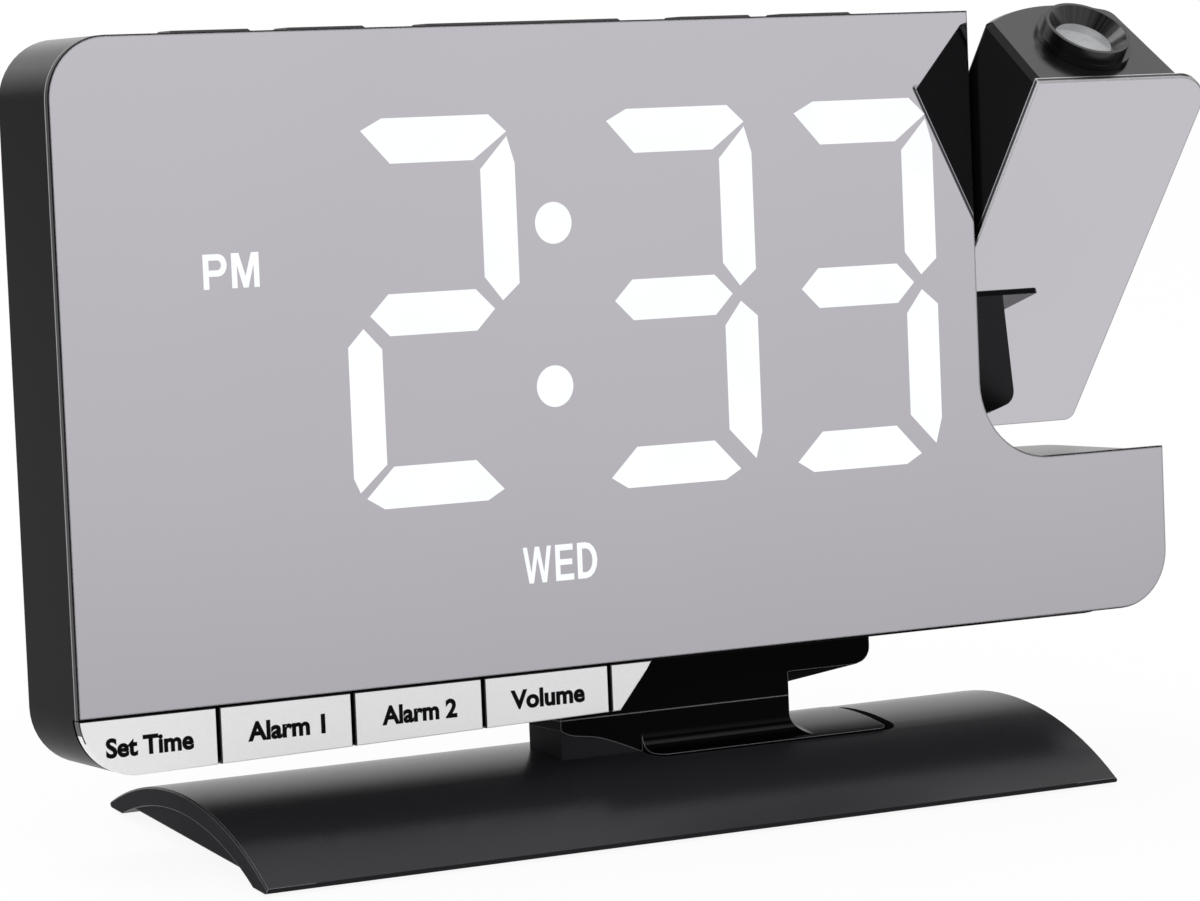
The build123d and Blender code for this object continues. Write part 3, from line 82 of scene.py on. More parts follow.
def new_object(name, data):
    """Put an object with this data in the scene."""
    thing = bpy.data.objects.new(name, data)
    bpy.context.scene.collection.objects.link(thing)
    return thing


print("screen grey 808080 is", round(linear("808080")[0], 3), "in linear light")

# %% [markdown]
# ## Black ABS
# The housing, the head and the stand are ABS, injection moulded and coloured black right through.
# Two finishes come out of one steel mould. Walls that slide along the steel as the part is pushed
# out keep a dull, spark-eroded skin; faces that look up were polished, and mirror the studio
# softly. Each face could get a material of its own. Here the surface direction, in the piece's own
# axes, says which finish a face has, so the CAD mesh stays as it is and one material does for a
# whole piece. A second Principled layer, the coat, draws the polish. No surface is quite even
# either, so a second function lets a colour wander between two over a known distance.


# %% Which way a surface looks
def facing_of(tree, place, direction):
    """Output with the cosine between the surface and a direction in the piece's own axes."""
    dot = add_node(
        tree, "VectorMath", {0: place.outputs["Normal"]}, {1: direction},
        operation="DOT_PRODUCT",
    )
    return dot.outputs["Value"]


def wandering(tree, place, size_mm, first, second, **noise_values):
    """Outputs of a noise of a given size, and of a colour that wanders with it between two."""
    noise = add_node(
        tree, "TexNoise", {"Vector": place.outputs["Object"]},
        {"Scale": 1 / (size_mm * MM), **noise_values},
    )
    colour = add_node(
        tree, "Mix", {"Factor": noise.outputs["Fac"]}, {"A": first, "B": second},
        data_type="RGBA",
    )
    return noise.outputs["Fac"], colour.outputs["Result"]


def leaning(lean):
    """Matrix of a plane that leans back by an angle: x right, y up the plane, z out of it."""
    along = Vector((1, 0, 0))
    up = Vector((0, sin(lean), cos(lean)))
    out = Vector((0, -cos(lean), sin(lean)))
    return Matrix((along, up, out)).transposed()


FACE_LEAN = radians(7.0)
HEAD_TILT = radians(36.6)
face_turn = leaning(FACE_LEAN)
head_turn = leaning(FACE_LEAN - HEAD_TILT)
FACE_OUT = face_turn.col[2]
HEAD_OUT = head_turn.col[2]
print("display looks along", [round(value, 3) for value in FACE_OUT])
print("head looks along", [round(value, 3) for value in HEAD_OUT])

# %% [markdown]
# ## Painted rim highlights
# A sharp moulded rim is never quite sharp: it has a tiny round that catches the light as a fine
# line, such as round the foot of the neck and along the arch of the stand's ends. Modelling that
# round on every solid would take thousands of faces. The Bevel node finds it instead: where its
# rounded normal turns away from the true one, there is a rim, and there the colour is made paler
# as a painted highlight.

# %% Painted rim highlights
RIM_MM = 0.22
BEVEL_SAMPLES = 6
RIM_STARTS = 0.985  # cosine of the turn at which a rim starts to show
RIM_IS_FULL = 0.86


def near_edge(tree, width_mm):
    """Rounded normal near an edge, and the cosine between it and the true normal."""
    rounded = add_node(tree, "Bevel", values={"Radius": width_mm * MM}, samples=BEVEL_SAMPLES)
    surface = add_node(tree, "NewGeometry")
    turned = add_node(
        tree, "VectorMath", {0: rounded.outputs["Normal"], 1: surface.outputs["Normal"]},
        operation="DOT_PRODUCT",
    )
    return rounded.outputs["Normal"], turned.outputs["Value"]


def painted_rim_highlights(tree, beyond):
    """Mask of painted rim highlights: 1 on sharp rims further than beyond metres left or right of zero.
    """
    turned = near_edge(tree, RIM_MM)[1]
    rim = add_node(
        tree, "MapRange", {"Value": turned},
        {"From Min": RIM_STARTS, "From Max": RIM_IS_FULL},
    )
    place = add_node(tree, "TexCoord")
    axes = add_node(tree, "SeparateXYZ", {"Vector": place.outputs["Object"]})
    reach = add_node(tree, "Math", {0: axes.outputs["X"]}, operation="ABSOLUTE")
    kept = add_node(tree, "Math", {0: reach.outputs[0]}, {1: beyond}, operation="GREATER_THAN")
    both = add_node(tree, "Math", {0: rim.outputs["Result"], 1: kept.outputs[0]}, operation="MULTIPLY")
    return both.outputs[0]


print("rims drawn", RIM_MM, "mm wide")

# %% [markdown]
# ## One recipe for all moulded ABS
# Index 1.53 is ABS. Spark erosion leaves a grain of a tenth of a millimetre, which is finer than
# a picture element here, so it is drawn three times as coarse to show. A slower noise, of the
# size of a thumb print, changes the gloss a little, as handling and the flow of the melt do. Thin
# edges at 45 degrees are painted paler, a painted highlight where a small bevel catches the light.
# Each piece could have a material written out in full; one function, with what differs as its
# arguments, keeps them one plastic.

# %% Moulded ABS
GRAIN_MM = 0.35
HANDLING_MM = 35.0
WIPED = 0.03  # how much smoother than the rest a wiped place is
HANDLED = 0.04  # how much duller a handled place is
FLOW_LIGHTENS = 1.25
GRAIN_STRENGTH = 0.5
EDGE_COSINE = 0.707
EDGE_RANGE = 0.14


def moulded_abs(
    name, colour, bevel_highlight, roughness, gloss, polish, grain_depth=0.004,
    up=(0, 0, 1), edge=(0, -1, 0), polished_from=(0.1, 0.55), rims=None, rims_beyond=-1.0,
):
    """Black ABS: 45-degree edges get a painted highlight colour, gloss the walls' specular, polish the
    coat.
    """
    material, tree, shader = new_material(
        name, IOR=1.53, Specular_IOR_Level=gloss, Coat_IOR=1.5, Coat_Roughness=roughness - WIPED,
    )
    place = add_node(tree, "TexCoord")
    grain = add_node(
        tree, "TexNoise", {"Vector": place.outputs["Object"]},
        {"Scale": 1 / (GRAIN_MM * MM), "Detail": 2.0, "Roughness": 0.6},
    )
    lighter = [channel * FLOW_LIGHTENS for channel in linear(colour)[:3]] + [1.0]
    flow, tint = wandering(tree, place, HANDLING_MM, linear(colour), lighter, Detail=3.0)
    sheen = add_node(
        tree, "MapRange", {"Value": flow},
        {"To Min": roughness - WIPED, "To Max": roughness + HANDLED},
    )
    # Faces at 45 degrees to the edge direction take the pale edge colour, a painted highlight.
    side = add_node(tree, "Math", {0: facing_of(tree, place, edge)}, operation="ABSOLUTE")
    bevel_highlight_mask = add_node(
        tree, "Math", {0: side.outputs[0]}, {1: EDGE_COSINE, 2: EDGE_RANGE},
        operation="COMPARE",
    )
    skin = add_node(
        tree, "Mix", {"Factor": bevel_highlight_mask.outputs[0], "A": tint}, {"B": linear(bevel_highlight)},
        data_type="RGBA",
    )
    # Sharp rims take the rim colour, a painted highlight line.
    if rims:
        skin = add_node(
            tree, "Mix",
            {"Factor": painted_rim_highlights(tree, rims_beyond), "A": skin.outputs["Result"]},
            {"B": linear(rims)}, data_type="RGBA",
        )
    polished = add_node(
        tree, "MapRange", {"Value": facing_of(tree, place, up)},
        {"From Min": polished_from[0], "From Max": polished_from[1], "To Max": polish},
    )
    relief = add_node(
        tree, "Bump", {"Height": grain.outputs["Fac"]},
        {"Strength": GRAIN_STRENGTH, "Distance": grain_depth * MM},
    )
    tree.links.new(skin.outputs["Result"], shader.inputs["Base Color"])
    tree.links.new(sheen.outputs["Result"], shader.inputs["Roughness"])
    tree.links.new(polished.outputs["Result"], shader.inputs["Coat Weight"])
    tree.links.new(relief.outputs["Normal"], shader.inputs["Normal"])
    tree.links.new(relief.outputs["Normal"], shader.inputs["Coat Normal"])
    return material


ARCH_END = 66 * MM  # the stand's rims show only on its arched ends, beyond this from the middle
# Housing: nearly black dull walls, soft shine on top, and a pale painted highlight on the edge behind
# the mirror.
housing_abs = moulded_abs(
    "Housing ABS satin black", "0d0d0e", "b4b4b8", roughness=0.24, gloss=0.02, polish=0.6,
    edge=FACE_OUT,
)
# Head: black sides, and a polished end face round the lens that mirrors the ceiling.
head_abs = moulded_abs(
    "Head ABS satin black", "0a0a0b", "3c3c3f", roughness=0.22, gloss=0.04, polish=1.0,
    up=head_turn.col[1], edge=HEAD_OUT, polished_from=(0.86, 0.96),
)
# Stand: a shade greyer, so that the arch shows its bend, with painted highlight lines along its ends.
stand_abs = moulded_abs(
    "Stand ABS satin black", "242427", "28282a", roughness=0.27, gloss=0.01, polish=0.58,
    rims="8e8e90", rims_beyond=ARCH_END,
)
# Neck: the glossiest mould and the deepest black; only its rims show, as painted highlight lines.
neck_abs = moulded_abs(
    "Neck ABS gloss black", "050506", "0c0c0d", roughness=0.16, gloss=0.01, polish=0.3,
    grain_depth=0.002, rims="8e8e92",
)
# Buttons: satin all over, so that fingers leave no prints.
button_abs = moulded_abs(
    "Button ABS satin black", "101011", "1c1c1e", roughness=0.3, gloss=0.2, polish=0.3,
)
# Back cover and base plate: a coarser, duller grain that hides scratches.
cover_abs = moulded_abs(
    "Back cover ABS fine grain", "131314", "1c1c1e", roughness=0.46, gloss=0.1, polish=0.1,
    grain_depth=0.02,
)
for black in (housing_abs, head_abs, stand_abs, neck_abs, button_abs, cover_abs):
    print("black plastic:", black.name)

# %% [markdown]
# ## Mirror acrylic
# The front is clear acrylic, 1 mm thick, with a half-silvered coat: a lilac-grey mirror by day,
# with the lit figures shining through. Only the flat front is a mirror. The sawn edge looks dark,
# because it lets the eye into the coat from the side. Beside it run fine lines: the small bevel
# and the rounded border of the front, and on the projector's cover also the rim of the coat at
# the back. On the projector's cover they are pale, a painted highlight, and on one side they turn
# grey, a painted reflection. Each zone could be cut out as faces with a material of its own. The
# surface direction, the depth into the sheet and the Bevel node tell the zones apart without
# touching the mesh.

# %% Half-silvered acrylic
SHEET_MM = 1.0
BORDER_MM = 0.4
BORDER_TURN = 0.992  # cosine of the turn beyond which the front counts as border
FRONT_COSINE = 0.95
BEVEL_COSINE = 0.45
HAZE_MM = 60.0
# Grey of the fine lines on one side of a sheet: a painted reflection.
REFLECTION_GREY = "77777a"
GREY_SIDE_STARTS = 0.02  # cosine towards the side sawn last at which its grey starts
GREY_SIDE_IS_FULL = 0.1
SAWN_ROUGHNESS = 0.3
MIRROR_ROUGHNESS = 0.012


def sheet_border(tree, place, front, edge_colour, line_colour, back_rim, grey_side):
    """Colour of a sheet's edge and of its fine lines of painted highlight and reflection, and an output
    that is 1 on the mirror.
    """
    facing = facing_of(tree, place, front)
    is_flat = add_node(tree, "Math", {0: facing}, {1: FRONT_COSINE}, operation="GREATER_THAN")
    is_bevel = add_node(tree, "Math", {0: facing}, {1: BEVEL_COSINE}, operation="GREATER_THAN")
    depth = add_node(
        tree, "VectorMath", {0: place.outputs["Object"]}, {1: front},
        operation="DOT_PRODUCT",
    )
    is_back_rim = add_node(
        tree, "Math", {0: depth.outputs["Value"]}, {1: back_rim}, operation="LESS_THAN",
    )
    rounded, turned = near_edge(tree, BORDER_MM)
    is_border = add_node(tree, "Math", {0: turned}, {1: BORDER_TURN}, operation="LESS_THAN")
    # Towards one side the fine lines turn grey, a painted reflection; elsewhere they keep their line
    # colour.
    towards = add_node(tree, "VectorMath", {0: rounded}, {1: grey_side}, operation="DOT_PRODUCT")
    grey_side_mask = add_node(
        tree, "MapRange", {"Value": towards.outputs["Value"]},
        {"From Min": GREY_SIDE_STARTS, "From Max": GREY_SIDE_IS_FULL},
    )
    line = add_node(
        tree, "Mix", {"Factor": grey_side_mask.outputs["Result"]},
        {"A": linear(line_colour), "B": linear(REFLECTION_GREY)}, data_type="RGBA",
    )
    lined = add_node(
        tree, "Math", {0: is_bevel.outputs[0], 1: is_back_rim.outputs[0]},
        operation="MAXIMUM",
    )
    lined = add_node(tree, "Math", {0: lined.outputs[0], 1: is_border.outputs[0]}, operation="MAXIMUM")
    border = add_node(
        tree, "Mix", {"Factor": lined.outputs[0], "B": line.outputs["Result"]},
        {"A": linear(edge_colour)}, data_type="RGBA",
    )
    is_mirror = add_node(
        tree, "Math", {0: is_flat.outputs[0], 1: is_border.outputs[0]},
        operation="SUBTRACT", use_clamp=True,
    )
    return border.outputs["Result"], is_mirror.outputs[0]


def mirror_acrylic(name, front, edge_colour, line_colour, sheet_front, rim_mm, grey_side):
    """Tinted mirror on the side that looks along front, with a dark edge between fine painted lines."""
    material, tree, shader = new_material(name, Metallic=1.0)
    place = add_node(tree, "TexCoord")
    back_rim = sheet_front - (SHEET_MM - rim_mm) * MM
    border, is_mirror = sheet_border(tree, place, front, edge_colour, line_colour, back_rim, grey_side)
    coat = wandering(tree, place, HAZE_MM, linear("c3c0c6"), linear("bebbc2"), Detail=2.0)[1]
    colour = add_node(tree, "Mix", {"Factor": is_mirror, "A": border, "B": coat}, data_type="RGBA")
    gloss = add_node(
        tree, "MapRange", {"Value": is_mirror},
        {"To Min": SAWN_ROUGHNESS, "To Max": MIRROR_ROUGHNESS},
    )
    tree.links.new(colour.outputs["Result"], shader.inputs["Base Color"])
    tree.links.new(gloss.outputs["Result"], shader.inputs["Roughness"])
    return material


def furthest(node, direction):
    """How far a solid reaches along a direction, in metres."""
    return max(vertex.co.dot(direction) for vertex in NODES[node].data.vertices)


display_front = furthest("display_plate", FACE_OUT)
head_front = furthest("projector_plate", HEAD_OUT)
# Display: dark border all round, with a painted grey reflection line on the right.
display_mirror = mirror_acrylic(
    "Display mirror acrylic", FACE_OUT, "1a1a1c", "1e1e20", display_front, 0.0, (1, 0, 0),
)
# Projector cover: a grey edge between two pale painted highlight lines, painted grey on the right and
# below.
head_mirror = mirror_acrylic(
    "Projector mirror acrylic", HEAD_OUT, "4a4a4c", "d6d6d8", head_front, 0.14, (1, 0, -1),
)
print("mirror fronts at", round(display_front / MM, 2), "and", round(head_front / MM, 2), "mm")

# %% [markdown]
# ## Focus ring with painted streaks
# The ring round the lens is black ABS. On its cone, fine streaks run from the lens to the lip and
# are painted paler, painted highlights that catch the light one by one. They could be cut as
# grooves, but a streak has no depth to speak of. A noise that is read by the direction from the
# axis alone fans out by itself, with no picture and no faces.

# %% Black ring with painted streak highlights
STREAKS_ROUND = 9.0  # the noise's scale on a circle of radius one: about one streak in 6 degrees
STREAK_STARTS = 0.42  # level of the noise at which a streak starts to show
STREAK_IS_FULL = 0.75
CONE_COSINE = 0.6
CONE_RANGE = 0.2


def ring_with_painted_streaks(name, centre, axis, across, outward):
    """Black ABS with painted highlight streaks that fan out from an axis, on the faces that slope
    towards it.
    """
    material, tree, shader = new_material(
        name, IOR=1.53, Specular_IOR_Level=0.25, Roughness=0.2, Coat_Weight=0.35,
        Coat_Roughness=0.15,
    )
    place = add_node(tree, "TexCoord")
    arm = add_node(tree, "VectorMath", {0: place.outputs["Object"]}, {1: centre}, operation="SUBTRACT")
    parts = []
    for direction in (across, outward):
        part = add_node(
            tree, "VectorMath", {0: arm.outputs["Vector"]}, {1: direction},
            operation="DOT_PRODUCT",
        )
        parts.append(part.outputs["Value"])
    flat = add_node(tree, "CombineXYZ", {"X": parts[0], "Y": parts[1]})
    spoke = add_node(tree, "VectorMath", {0: flat.outputs["Vector"]}, operation="NORMALIZE")
    streaks = add_node(
        tree, "TexNoise", {"Vector": spoke.outputs["Vector"]},
        {"Scale": STREAKS_ROUND, "Detail": 3.0, "Roughness": 0.65},
    )
    streak_highlight = add_node(
        tree, "MapRange", {"Value": streaks.outputs["Fac"]},
        {"From Min": STREAK_STARTS, "From Max": STREAK_IS_FULL},
    )
    slope = add_node(
        tree, "Math", {0: facing_of(tree, place, axis)},
        {1: CONE_COSINE, 2: CONE_RANGE}, operation="COMPARE",
    )
    shown = add_node(
        tree, "Math", {0: streak_highlight.outputs["Result"], 1: slope.outputs[0]},
        operation="MULTIPLY",
    )
    # The streaks' paler grey is a painted highlight.
    colour = add_node(
        tree, "Mix", {"Factor": shown.outputs[0]},
        {"A": linear("0a0a0b"), "B": linear("343437")}, data_type="RGBA",
    )
    tree.links.new(colour.outputs["Result"], shader.inputs["Base Color"])
    return material


lens_points = [vertex.co for vertex in NODES["focus_lens"].data.vertices]
lens_centre = sum(lens_points, Vector()) / len(lens_points)
ring_abs = ring_with_painted_streaks(
    "Focus ring ABS painted streaks", lens_centre, head_turn.col[1], head_turn.col[0], head_turn.col[2],
)
print("ring axis through", [round(value / MM, 2) for value in lens_centre], "mm")

# %% [markdown]
# ## Silver lacquer
# The keys are black ABS under a pale silver lacquer: fine metal flakes under a clear coat, so
# they are bright but not mirrors. Only the faces that look forward or down are silver; the other
# faces, the tops and the sides in the gaps between the keys, are black. Flakes could be a plain
# noise, but Voronoi cells have the flat facets of real ones. They are about 0.08 mm across, and
# drawn at 0.2 mm so that they show.

# %% Silver lacquer
FLAKE_MM = 0.2
SILVER_FROM_FRONT = 0.9  # cosine from which a face got its paint from the front
SILVER_FROM_BELOW = 0.3


def silver_lacquer(name):
    """Pale silver paint on the faces that look forward or down, black ABS on the rest."""
    material, tree, shader = new_material(name, IOR=1.5, Coat_Weight=0.2, Coat_Roughness=0.12)
    place = add_node(tree, "TexCoord")
    flakes = add_node(
        tree, "TexVoronoi", {"Vector": place.outputs["Object"]},
        {"Scale": 1 / (FLAKE_MM * MM)},
    )
    silver = add_node(
        tree, "Mix", {"Factor": flakes.outputs["Distance"]},
        {"A": linear("f6f6f6"), "B": linear("eeeef0")}, data_type="RGBA",
    )
    before = add_node(
        tree, "Math", {0: facing_of(tree, place, FACE_OUT)}, {1: SILVER_FROM_FRONT},
        operation="GREATER_THAN",
    )
    below = add_node(
        tree, "Math", {0: facing_of(tree, place, -face_turn.col[1])},
        {1: SILVER_FROM_BELOW}, operation="GREATER_THAN",
    )
    # Only faces that look forward or down are silver; the rest, on top and in the gaps, are black.
    silver_faces = add_node(tree, "Math", {0: before.outputs[0], 1: below.outputs[0]}, operation="MAXIMUM")
    painted = add_node(
        tree, "Mix", {"Factor": silver_faces.outputs[0], "B": silver.outputs["Result"]},
        {"A": linear("0b0b0c")}, data_type="RGBA",
    )
    shine = add_node(
        tree, "MapRange", {"Value": flakes.outputs["Distance"]},
        {"To Min": 0.36, "To Max": 0.5},
    )
    tree.links.new(painted.outputs["Result"], shader.inputs["Base Color"])
    tree.links.new(shine.outputs["Result"], shader.inputs["Roughness"])
    return material


key_silver = silver_lacquer("Key silver lacquer")
print("paint:", key_silver.name, "with flakes of", FLAKE_MM, "mm")

# %% [markdown]
# ## Metals, boards, optics and rubber
# Inside are solder-masked circuit boards, white light-box plastic, plated and rolled steel,
# aluminium and clear optics. Each could have a shader of its own, but what makes them look real at
# this size is the same: colour and roughness that wander together over a known distance, and a
# relief of a few hundredths of a millimetre. So one recipe takes the two colours, that distance
# and the two roughnesses, and each finish brings its usual index. A metal keeps the default one.

# %% Finishes that wander between two values
CLOUD_STRENGTH = 0.2
CLOUD_DEPTH_MM = 0.02


def speckled(name, dark, light, size_mm, rough_low, rough_high, **shader_values):
    """A finish whose colour and roughness wander between two values over a given size."""
    material, tree, shader = new_material(name, **shader_values)
    place = add_node(tree, "TexCoord")
    cloud, colour = wandering(
        tree, place, size_mm, linear(dark), linear(light), Detail=4.0, Roughness=0.55,
    )
    rough = add_node(tree, "MapRange", {"Value": cloud}, {"To Min": rough_low, "To Max": rough_high})
    relief = add_node(
        tree, "Bump", {"Height": cloud},
        {"Strength": CLOUD_STRENGTH, "Distance": CLOUD_DEPTH_MM * MM},
    )
    tree.links.new(colour, shader.inputs["Base Color"])
    tree.links.new(rough.outputs["Result"], shader.inputs["Roughness"])
    tree.links.new(relief.outputs["Normal"], shader.inputs["Normal"])
    return material


# Black zinc on steel: dark, with a soft metal glint and the fine cloud of the plating bath.
black_zinc = speckled("Screw black zinc", "2b2b2e", "3c3c40", 0.6, 0.3, 0.45, Metallic=1.0)
# Nickel plate on stamped steel: bright and almost smooth.
plated_steel = speckled("Socket plated steel", "b8b8ba", "c9c9cb", 1.5, 0.18, 0.3, Metallic=1.0)
# Rolled mild steel: grey scale in patches of a few millimetres.
rolled_steel = speckled("Ballast rolled steel", "6b6b6d", "86868a", 3.0, 0.35, 0.55, Metallic=1.0)
# Die-cast aluminium: pale and evenly frosted.
cast_aluminium = speckled("Heat sink aluminium", "a9a9ab", "c2c2c4", 1.0, 0.25, 0.4, Metallic=1.0)
# Green solder mask, cured in a film: shiny and slightly uneven in tone.
solder_mask = speckled("Board solder mask", "0f3d22", "1a5a33", 2.5, 0.25, 0.35, IOR=1.55)
# White filled ABS: matt, to throw the light back.
white_box = speckled("Light box white ABS", "e4e4e2", "efefed", 4.0, 0.5, 0.6, IOR=1.53)
# Black nylon with glass fibre: dull, with a fine speckle.
switch_nylon = speckled("Switch black nylon", "0e0e0f", "161617", 0.5, 0.45, 0.6, IOR=1.53)
# Steel under black paint: half matt, with the grain of a sprayed coat.
speaker_steel = speckled("Speaker painted steel", "151516", "1f1f21", 0.8, 0.4, 0.55, IOR=1.5)
# Natural acetal, turned: creamy white and waxy.
natural_acetal = speckled("Bearing natural acetal", "d8d6cc", "e6e4da", 2.0, 0.35, 0.45, IOR=1.48)
# Soft moulded rubber: black and matt.
foot_rubber = speckled("Foot rubber", "111111", "1b1b1b", 0.7, 0.65, 0.85, IOR=1.52)
# Photographic film between glasses: almost black and very smooth.
slide_film = speckled("Image slide dark film", "050505", "101014", 1.2, 0.05, 0.12, IOR=1.52)
# Coated glass: a quarter of it lets the inside of the barrel show through, and the rest of its pale
# grey is a painted reflection.
lens_glass = speckled(
    "Lens coated glass", "8c8e90", "dcdee0", 3.0, 0.03, 0.08, IOR=1.52, Transmission_Weight=0.25,
)
print("finishes made:", len(bpy.data.materials))

# %% [markdown]
# ## Dress the solids
# Each solid keeps its shape and takes its finish through its material slots. The list could go
# by piece; it goes by finish, which is how a workshop would sort them, and shows at a glance what
# is made of the same stuff.

# %% Hand out the finishes
FINISHES = {
    housing_abs: ["front_frame"],
    head_abs: ["projector_shell"],
    ring_abs: ["focus_ring"],
    stand_abs: ["base_shell"],
    neck_abs: ["stand_neck", "neck_socket"],
    button_abs: ["snooze_bar", "light_button", "minus_button", "plus_button", "projector_button"],
    cover_abs: ["rear_cover", "battery_door", "battery_cup", "base_plate"],
    display_mirror: ["display_plate"],
    head_mirror: ["projector_plate"],
    key_silver: ["time_key", "alarm_one_key", "alarm_two_key", "volume_key", "key_end_trim"],
    black_zinc: ["hinge_circlip"],
    plated_steel: ["usb_port", "coin_cell"],
    rolled_steel: ["base_weights"],
    cast_aluminium: ["heat_sink"],
    solder_mask: [
        "led_board", "main_board", "socket_board", "top_switch_board", "key_switch_board",
        "projector_led_board",
    ],
    white_box: ["segment_reflector"],
    switch_nylon: ["top_switches", "key_switches", "dc_jack", "lens_barrel"],
    speaker_steel: ["speaker"],
    natural_acetal: ["hinge_axle", "hinge_bush", "friction_washer"],
    foot_rubber: ["rubber_feet"],
    slide_film: ["image_slide"],
    lens_glass: ["focus_lens", "condenser_lens"],
}
dressed = set()
for finish, names in FINISHES.items():
    for name in names:
        NODES[name].data.materials.clear()
        NODES[name].data.materials.append(finish)
        dressed.add(name)
print("dressed", len(dressed), "of", len(NODES), "missing:", sorted(set(NODES) - dressed))

# %% [markdown]
# ## Figures that shine through the mirror
# A lit bar is white light that comes out through the coat. It could be a hole in the mirror with
# a lamp behind it, but that is slow to render and never even. A thin glowing face a hair in front
# of the mirror gives the same picture from every side. Bars that are off can't be seen behind a
# half-silvered coat, so they aren't drawn. This cell finds the places and makes flat pieces.

# %% Places on the display
RUN_UP = 0.05 * MM
lower_edge = -furthest("display_plate", -face_turn.col[1])
face_origin = display_front * FACE_OUT + lower_edge * face_turn.col[1]


def on_face(x, up, lift):
    """World point of a display place given in millimetres right of centre and up the mirror."""
    return face_origin + face_turn @ Vector((x * MM, up * MM, lift))


def add_piece(name, mesh, material, body):
    """Put a mesh in the scene as a piece of one material that rides on a body."""
    mesh.materials.clear()
    mesh.materials.append(material)
    piece = new_object(name, mesh)
    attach(piece, body)
    return piece


def flat_piece(name, outlines, body, material, lift, turn, origin):
    """One mesh of flat faces on a plane, each from its outline of (x, y) in millimetres."""
    points, faces = [], []
    for outline in outlines:
        faces.append(list(range(len(points), len(points) + len(outline))))
        points += [origin + turn @ Vector((x * MM, y * MM, lift)) for x, y in outline]
    mesh = bpy.data.meshes.new(name)
    mesh.from_pydata(points, [], faces)
    mesh.validate()
    return add_piece(name, mesh, material, body)


print("mirror starts", [round(value / MM, 2) for value in face_origin], "mm from the origin")

# %% [markdown]
# ## Seven bars
# Each figure is made of seven bars with mitred ends, as on any segment display, 57 mm high. The
# light box behind the mirror has a well for each. The bars could be one shape turned seven ways,
# but in such a display the outer corners are cut more than the inner ones, so five are drawn and
# the upper two are their neighbours mirrored.

# %% Seven-segment shapes
FIGURE_WIDTH = 28.7
FIGURE_HEIGHT = 56.7
FIGURE_FOOT = 26.1
BAR = 6.1


def ring_points(radius, steps, middle=(0, 0)):
    """Points of a circle, as (x, y)."""
    angles = [2 * pi * step / steps for step in range(steps)]
    return [(middle[0] + radius * cos(a), middle[1] + radius * sin(a)) for a in angles]


def bars_of_figure(wide, high):
    """Outlines of the seven bars, with the figure's lower left corner at zero."""
    middle = high / 2 - 0.2
    top = [
        (3.5, high - 1.7), (7.0, high), (wide - 4.1, high), (wide - 1.2, high - 2.6),
        (wide - 6.9, high - BAR - 0.5), (8.1, high - BAR - 0.5),
    ]
    right_low = [
        (wide - 1.2, 2.9), (wide, 6.9), (wide, 24.6), (wide - 2.9, 27.0), (wide - 5.8, 23.4),
        (wide - 5.8, 7.6),
    ]
    left_low = [(1.0, 2.6), (5.5, 6.5), (5.5, 23.3), (2.6, 26.4), (0, 23.8), (0, 4.8)]
    bottom = [
        (2.0, 1.7), (4.8, 0), (wide - 6.8, 0), (wide - 4.0, 1.5), (wide - 8.5, BAR), (6.6, BAR),
    ]
    centre = [
        (3.8, middle), (6.9, middle + BAR / 2), (wide - 7.4, middle + BAR / 2),
        (wide - 4.3, middle), (wide - 7.4, middle - BAR / 2), (6.9, middle - BAR / 2),
    ]
    right_high = [(x, 2 * middle - y) for x, y in right_low]
    left_high = [(x, 2 * middle - y) for x, y in left_low]
    return dict(a=top, b=right_high, c=right_low, d=bottom, e=left_low, f=left_high, g=centre)


LIT = {"2": "abged", "3": "abgcd"}
TIME_SHOWN = [("2", -50.2), ("3", -9.2), ("3", 23.8)]
COLON = [(-15.4, 66.4), (-16.25, 42.2)]
COLON_RADIUS = 3.1
BARS = bars_of_figure(FIGURE_WIDTH, FIGURE_HEIGHT)
lit_outlines = [
    [(left + x, FIGURE_FOOT + y) for x, y in BARS[bar]]
    for figure, left in TIME_SHOWN for bar in LIT[figure]
]
lit_outlines += [ring_points(COLON_RADIUS, 40, dot) for dot in COLON]
print("lit shapes:", len(lit_outlines))

# %% [markdown]
# ## Light through the coat
# White LEDs behind a diffuser film: an even, slightly cool white with the faintest cloud. A real
# lamp could stand in each well, but the eye only sees the film, so the face itself glows at a
# strength of one, which is white and doesn't clip.

# %% Glow of the figures
FILM_MM = 9.0


def display_light(name, colour):
    """White LED light behind a diffuser: even, with a faint cloud from the diffuser film."""
    material, tree, shader = new_material(
        name, Roughness=0.4, Base_Color=linear("000000"), Emission_Strength=1.0,
    )
    place = add_node(tree, "TexCoord")
    glow = wandering(tree, place, FILM_MM, linear(colour), linear("ffffff"), Detail=1.0)[1]
    tree.links.new(glow, shader.inputs["Emission Color"])
    return material


white_light = display_light("Display white light", "f6f9ff")
flat_piece("Lit_figures", lit_outlines, "clock", white_light, RUN_UP, face_turn, face_origin)
print("glow:", white_light.name)

# %% [markdown]
# ## Afternoon mark and weekday
# Beside the figures, masks in the light box let through a half-day mark and a weekday. A text
# object could set them, but a font's thin corners break up when it is made bold. Outlines on a
# square of height one, stretched to size, are how a mask cutter works too, and the faces stay few
# and clean.

# %% Masked letters
STEM_WIDTH = 0.21


def arc_points(middle, radii, first, last, steps=9):
    """Points of an elliptic arc between two angles in degrees."""
    angles = [radians(first + (last - first) * step / (steps - 1)) for step in range(steps)]
    return [(middle[0] + radii[0] * cos(a), middle[1] + radii[1] * sin(a)) for a in angles]


def bowl(outer_middle, outer_radii, inner_middle, inner_radii):
    """Outline of the round bowl of a letter, closed against the stem."""
    outer = arc_points(outer_middle, outer_radii, 90, -90)
    inner = arc_points(inner_middle, inner_radii, -90, 90)
    starts = [(STEM_WIDTH, outer[0][1])]
    turns = [(STEM_WIDTH, outer[-1][1]), (STEM_WIDTH, inner[0][1])]
    ends = [(STEM_WIDTH, inner[-1][1])]
    return starts + outer + turns + inner + ends


